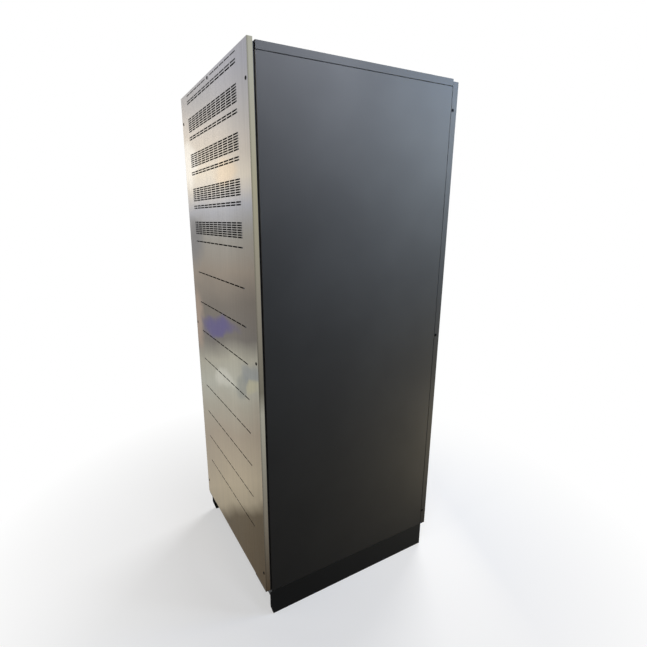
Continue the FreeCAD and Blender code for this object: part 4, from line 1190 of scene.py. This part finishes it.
def make_surround():
    """A surround that is white where it is seen and dim as a light."""
    world = bpy.data.worlds.new("surround")
    bpy.context.scene.world = world
    world.use_nodes = True
    tree = world.node_tree
    background = tree.nodes["Background"]
    background.inputs["Color"].default_value = (1, 1, 1, 1)
    level = between(tree, seen_directly(tree), 0.045, 1.0, 0.0, 1.0)
    tree.links.new(level, background.inputs["Strength"])


def add_lamp(name, place, target, size, power, colour=(1, 1, 1), mirrored=False):
    """A soft square lamp that faces a point, with or without its image in bare metal."""
    deselect()
    bpy.ops.object.light_add(type="AREA", location=place)
    lamp = bpy.context.object
    lamp.name = name
    lamp.data.size = size
    lamp.data.energy = power
    lamp.data.color = colour
    aim = Vector(target) - Vector(place)
    lamp.rotation_euler = aim.to_track_quat("-Z", "Y").to_euler()
    lamp.visible_camera = False
    lamp.visible_glossy = mirrored


def blended(tree, amount, first, second):
    """One shader over another, by an amount."""
    mix = tree.nodes.new("ShaderNodeMixShader")
    for value, socket in zip((amount, first, second), mix.inputs):
        tree.links.new(value, socket)
    return mix.outputs["Shader"]


def make_floor_finish():
    """A pale floor that keeps the shadow near the cabinet and turns white further out."""
    material, tree, shader = new_finish("floor_white", (0.9, 0.9, 0.9), 0.0, 0.9)
    place = tree.nodes.new("ShaderNodeTexCoord")
    reach = tree.nodes.new("ShaderNodeVectorMath")
    reach.operation = "LENGTH"
    tree.links.new(place.outputs["Object"], reach.inputs[0])
    far = between(tree, reach.outputs["Value"], 0.5, 1.0, 0.6, 1.6)
    glow = tree.nodes.new("ShaderNodeEmission")
    dim = tree.nodes.new("ShaderNodeBsdfDiffuse")
    dim.inputs["Color"].default_value = (0.12, 0.118, 0.114, 1)
    shown = blended(tree, far, shader.outputs["BSDF"], glow.outputs["Emission"])
    whole = blended(tree, seen_directly(tree), dim.outputs["BSDF"], shown)
    tree.links.new(whole, tree.nodes["Material Output"].inputs["Surface"])
    return material


make_surround()
add_lamp("upper_side_lamp", (-0.83, 0.29, 2.2), (-0.365, -0.1, 2.0), 0.25, 10.2,
         (0.755, 0.82, 1.0))
add_lamp("middle_side_lamp", (-0.985, -0.5, 1.9), (-0.365, -0.5, 1.9), 0.3, 14.5,
         (0.763, 0.882, 1.0))
add_lamp("corner_lamp", (-0.80, -0.75, 2.3), (-0.365, -0.4, 1.95), 0.3, 7, (0.1, 0.35, 1.0))
add_lamp("low_side_lamp", (-0.65, -0.87, 0.5), (-0.365, -0.2, 0.9), 0.25, 6.8,
         (1.0, 0.90, 0.68))
add_lamp("gap_lamp", (-0.45, 0.9, 2.1), (-0.365, 0.386, 1.9), 0.12, 3.3)
add_lamp("rear_lamp", (0.8, 3.6, 2.9), (0.0, 0.4, 1.2), 2.4, 36, (1.0, 0.97, 0.92))
add_lamp("window_lamp", (3.62, 1.35, 2.14), (0.26, 0.41, 1.73), 0.9, 4, (1.0, 0.92, 0.78),
         mirrored=True)
add_lamp("front_lamp", (2.2, -3.6, 2.8), (0.0, -0.4, 1.1), 2.4, 200, mirrored=True)

deselect()
bpy.ops.mesh.primitive_plane_add(size=60, location=(0, 0, 0))
floor = bpy.context.object
floor.name = "floor"
floor.data.materials.append(make_floor_finish())
bpy.context.scene.view_settings.view_transform = "Standard"
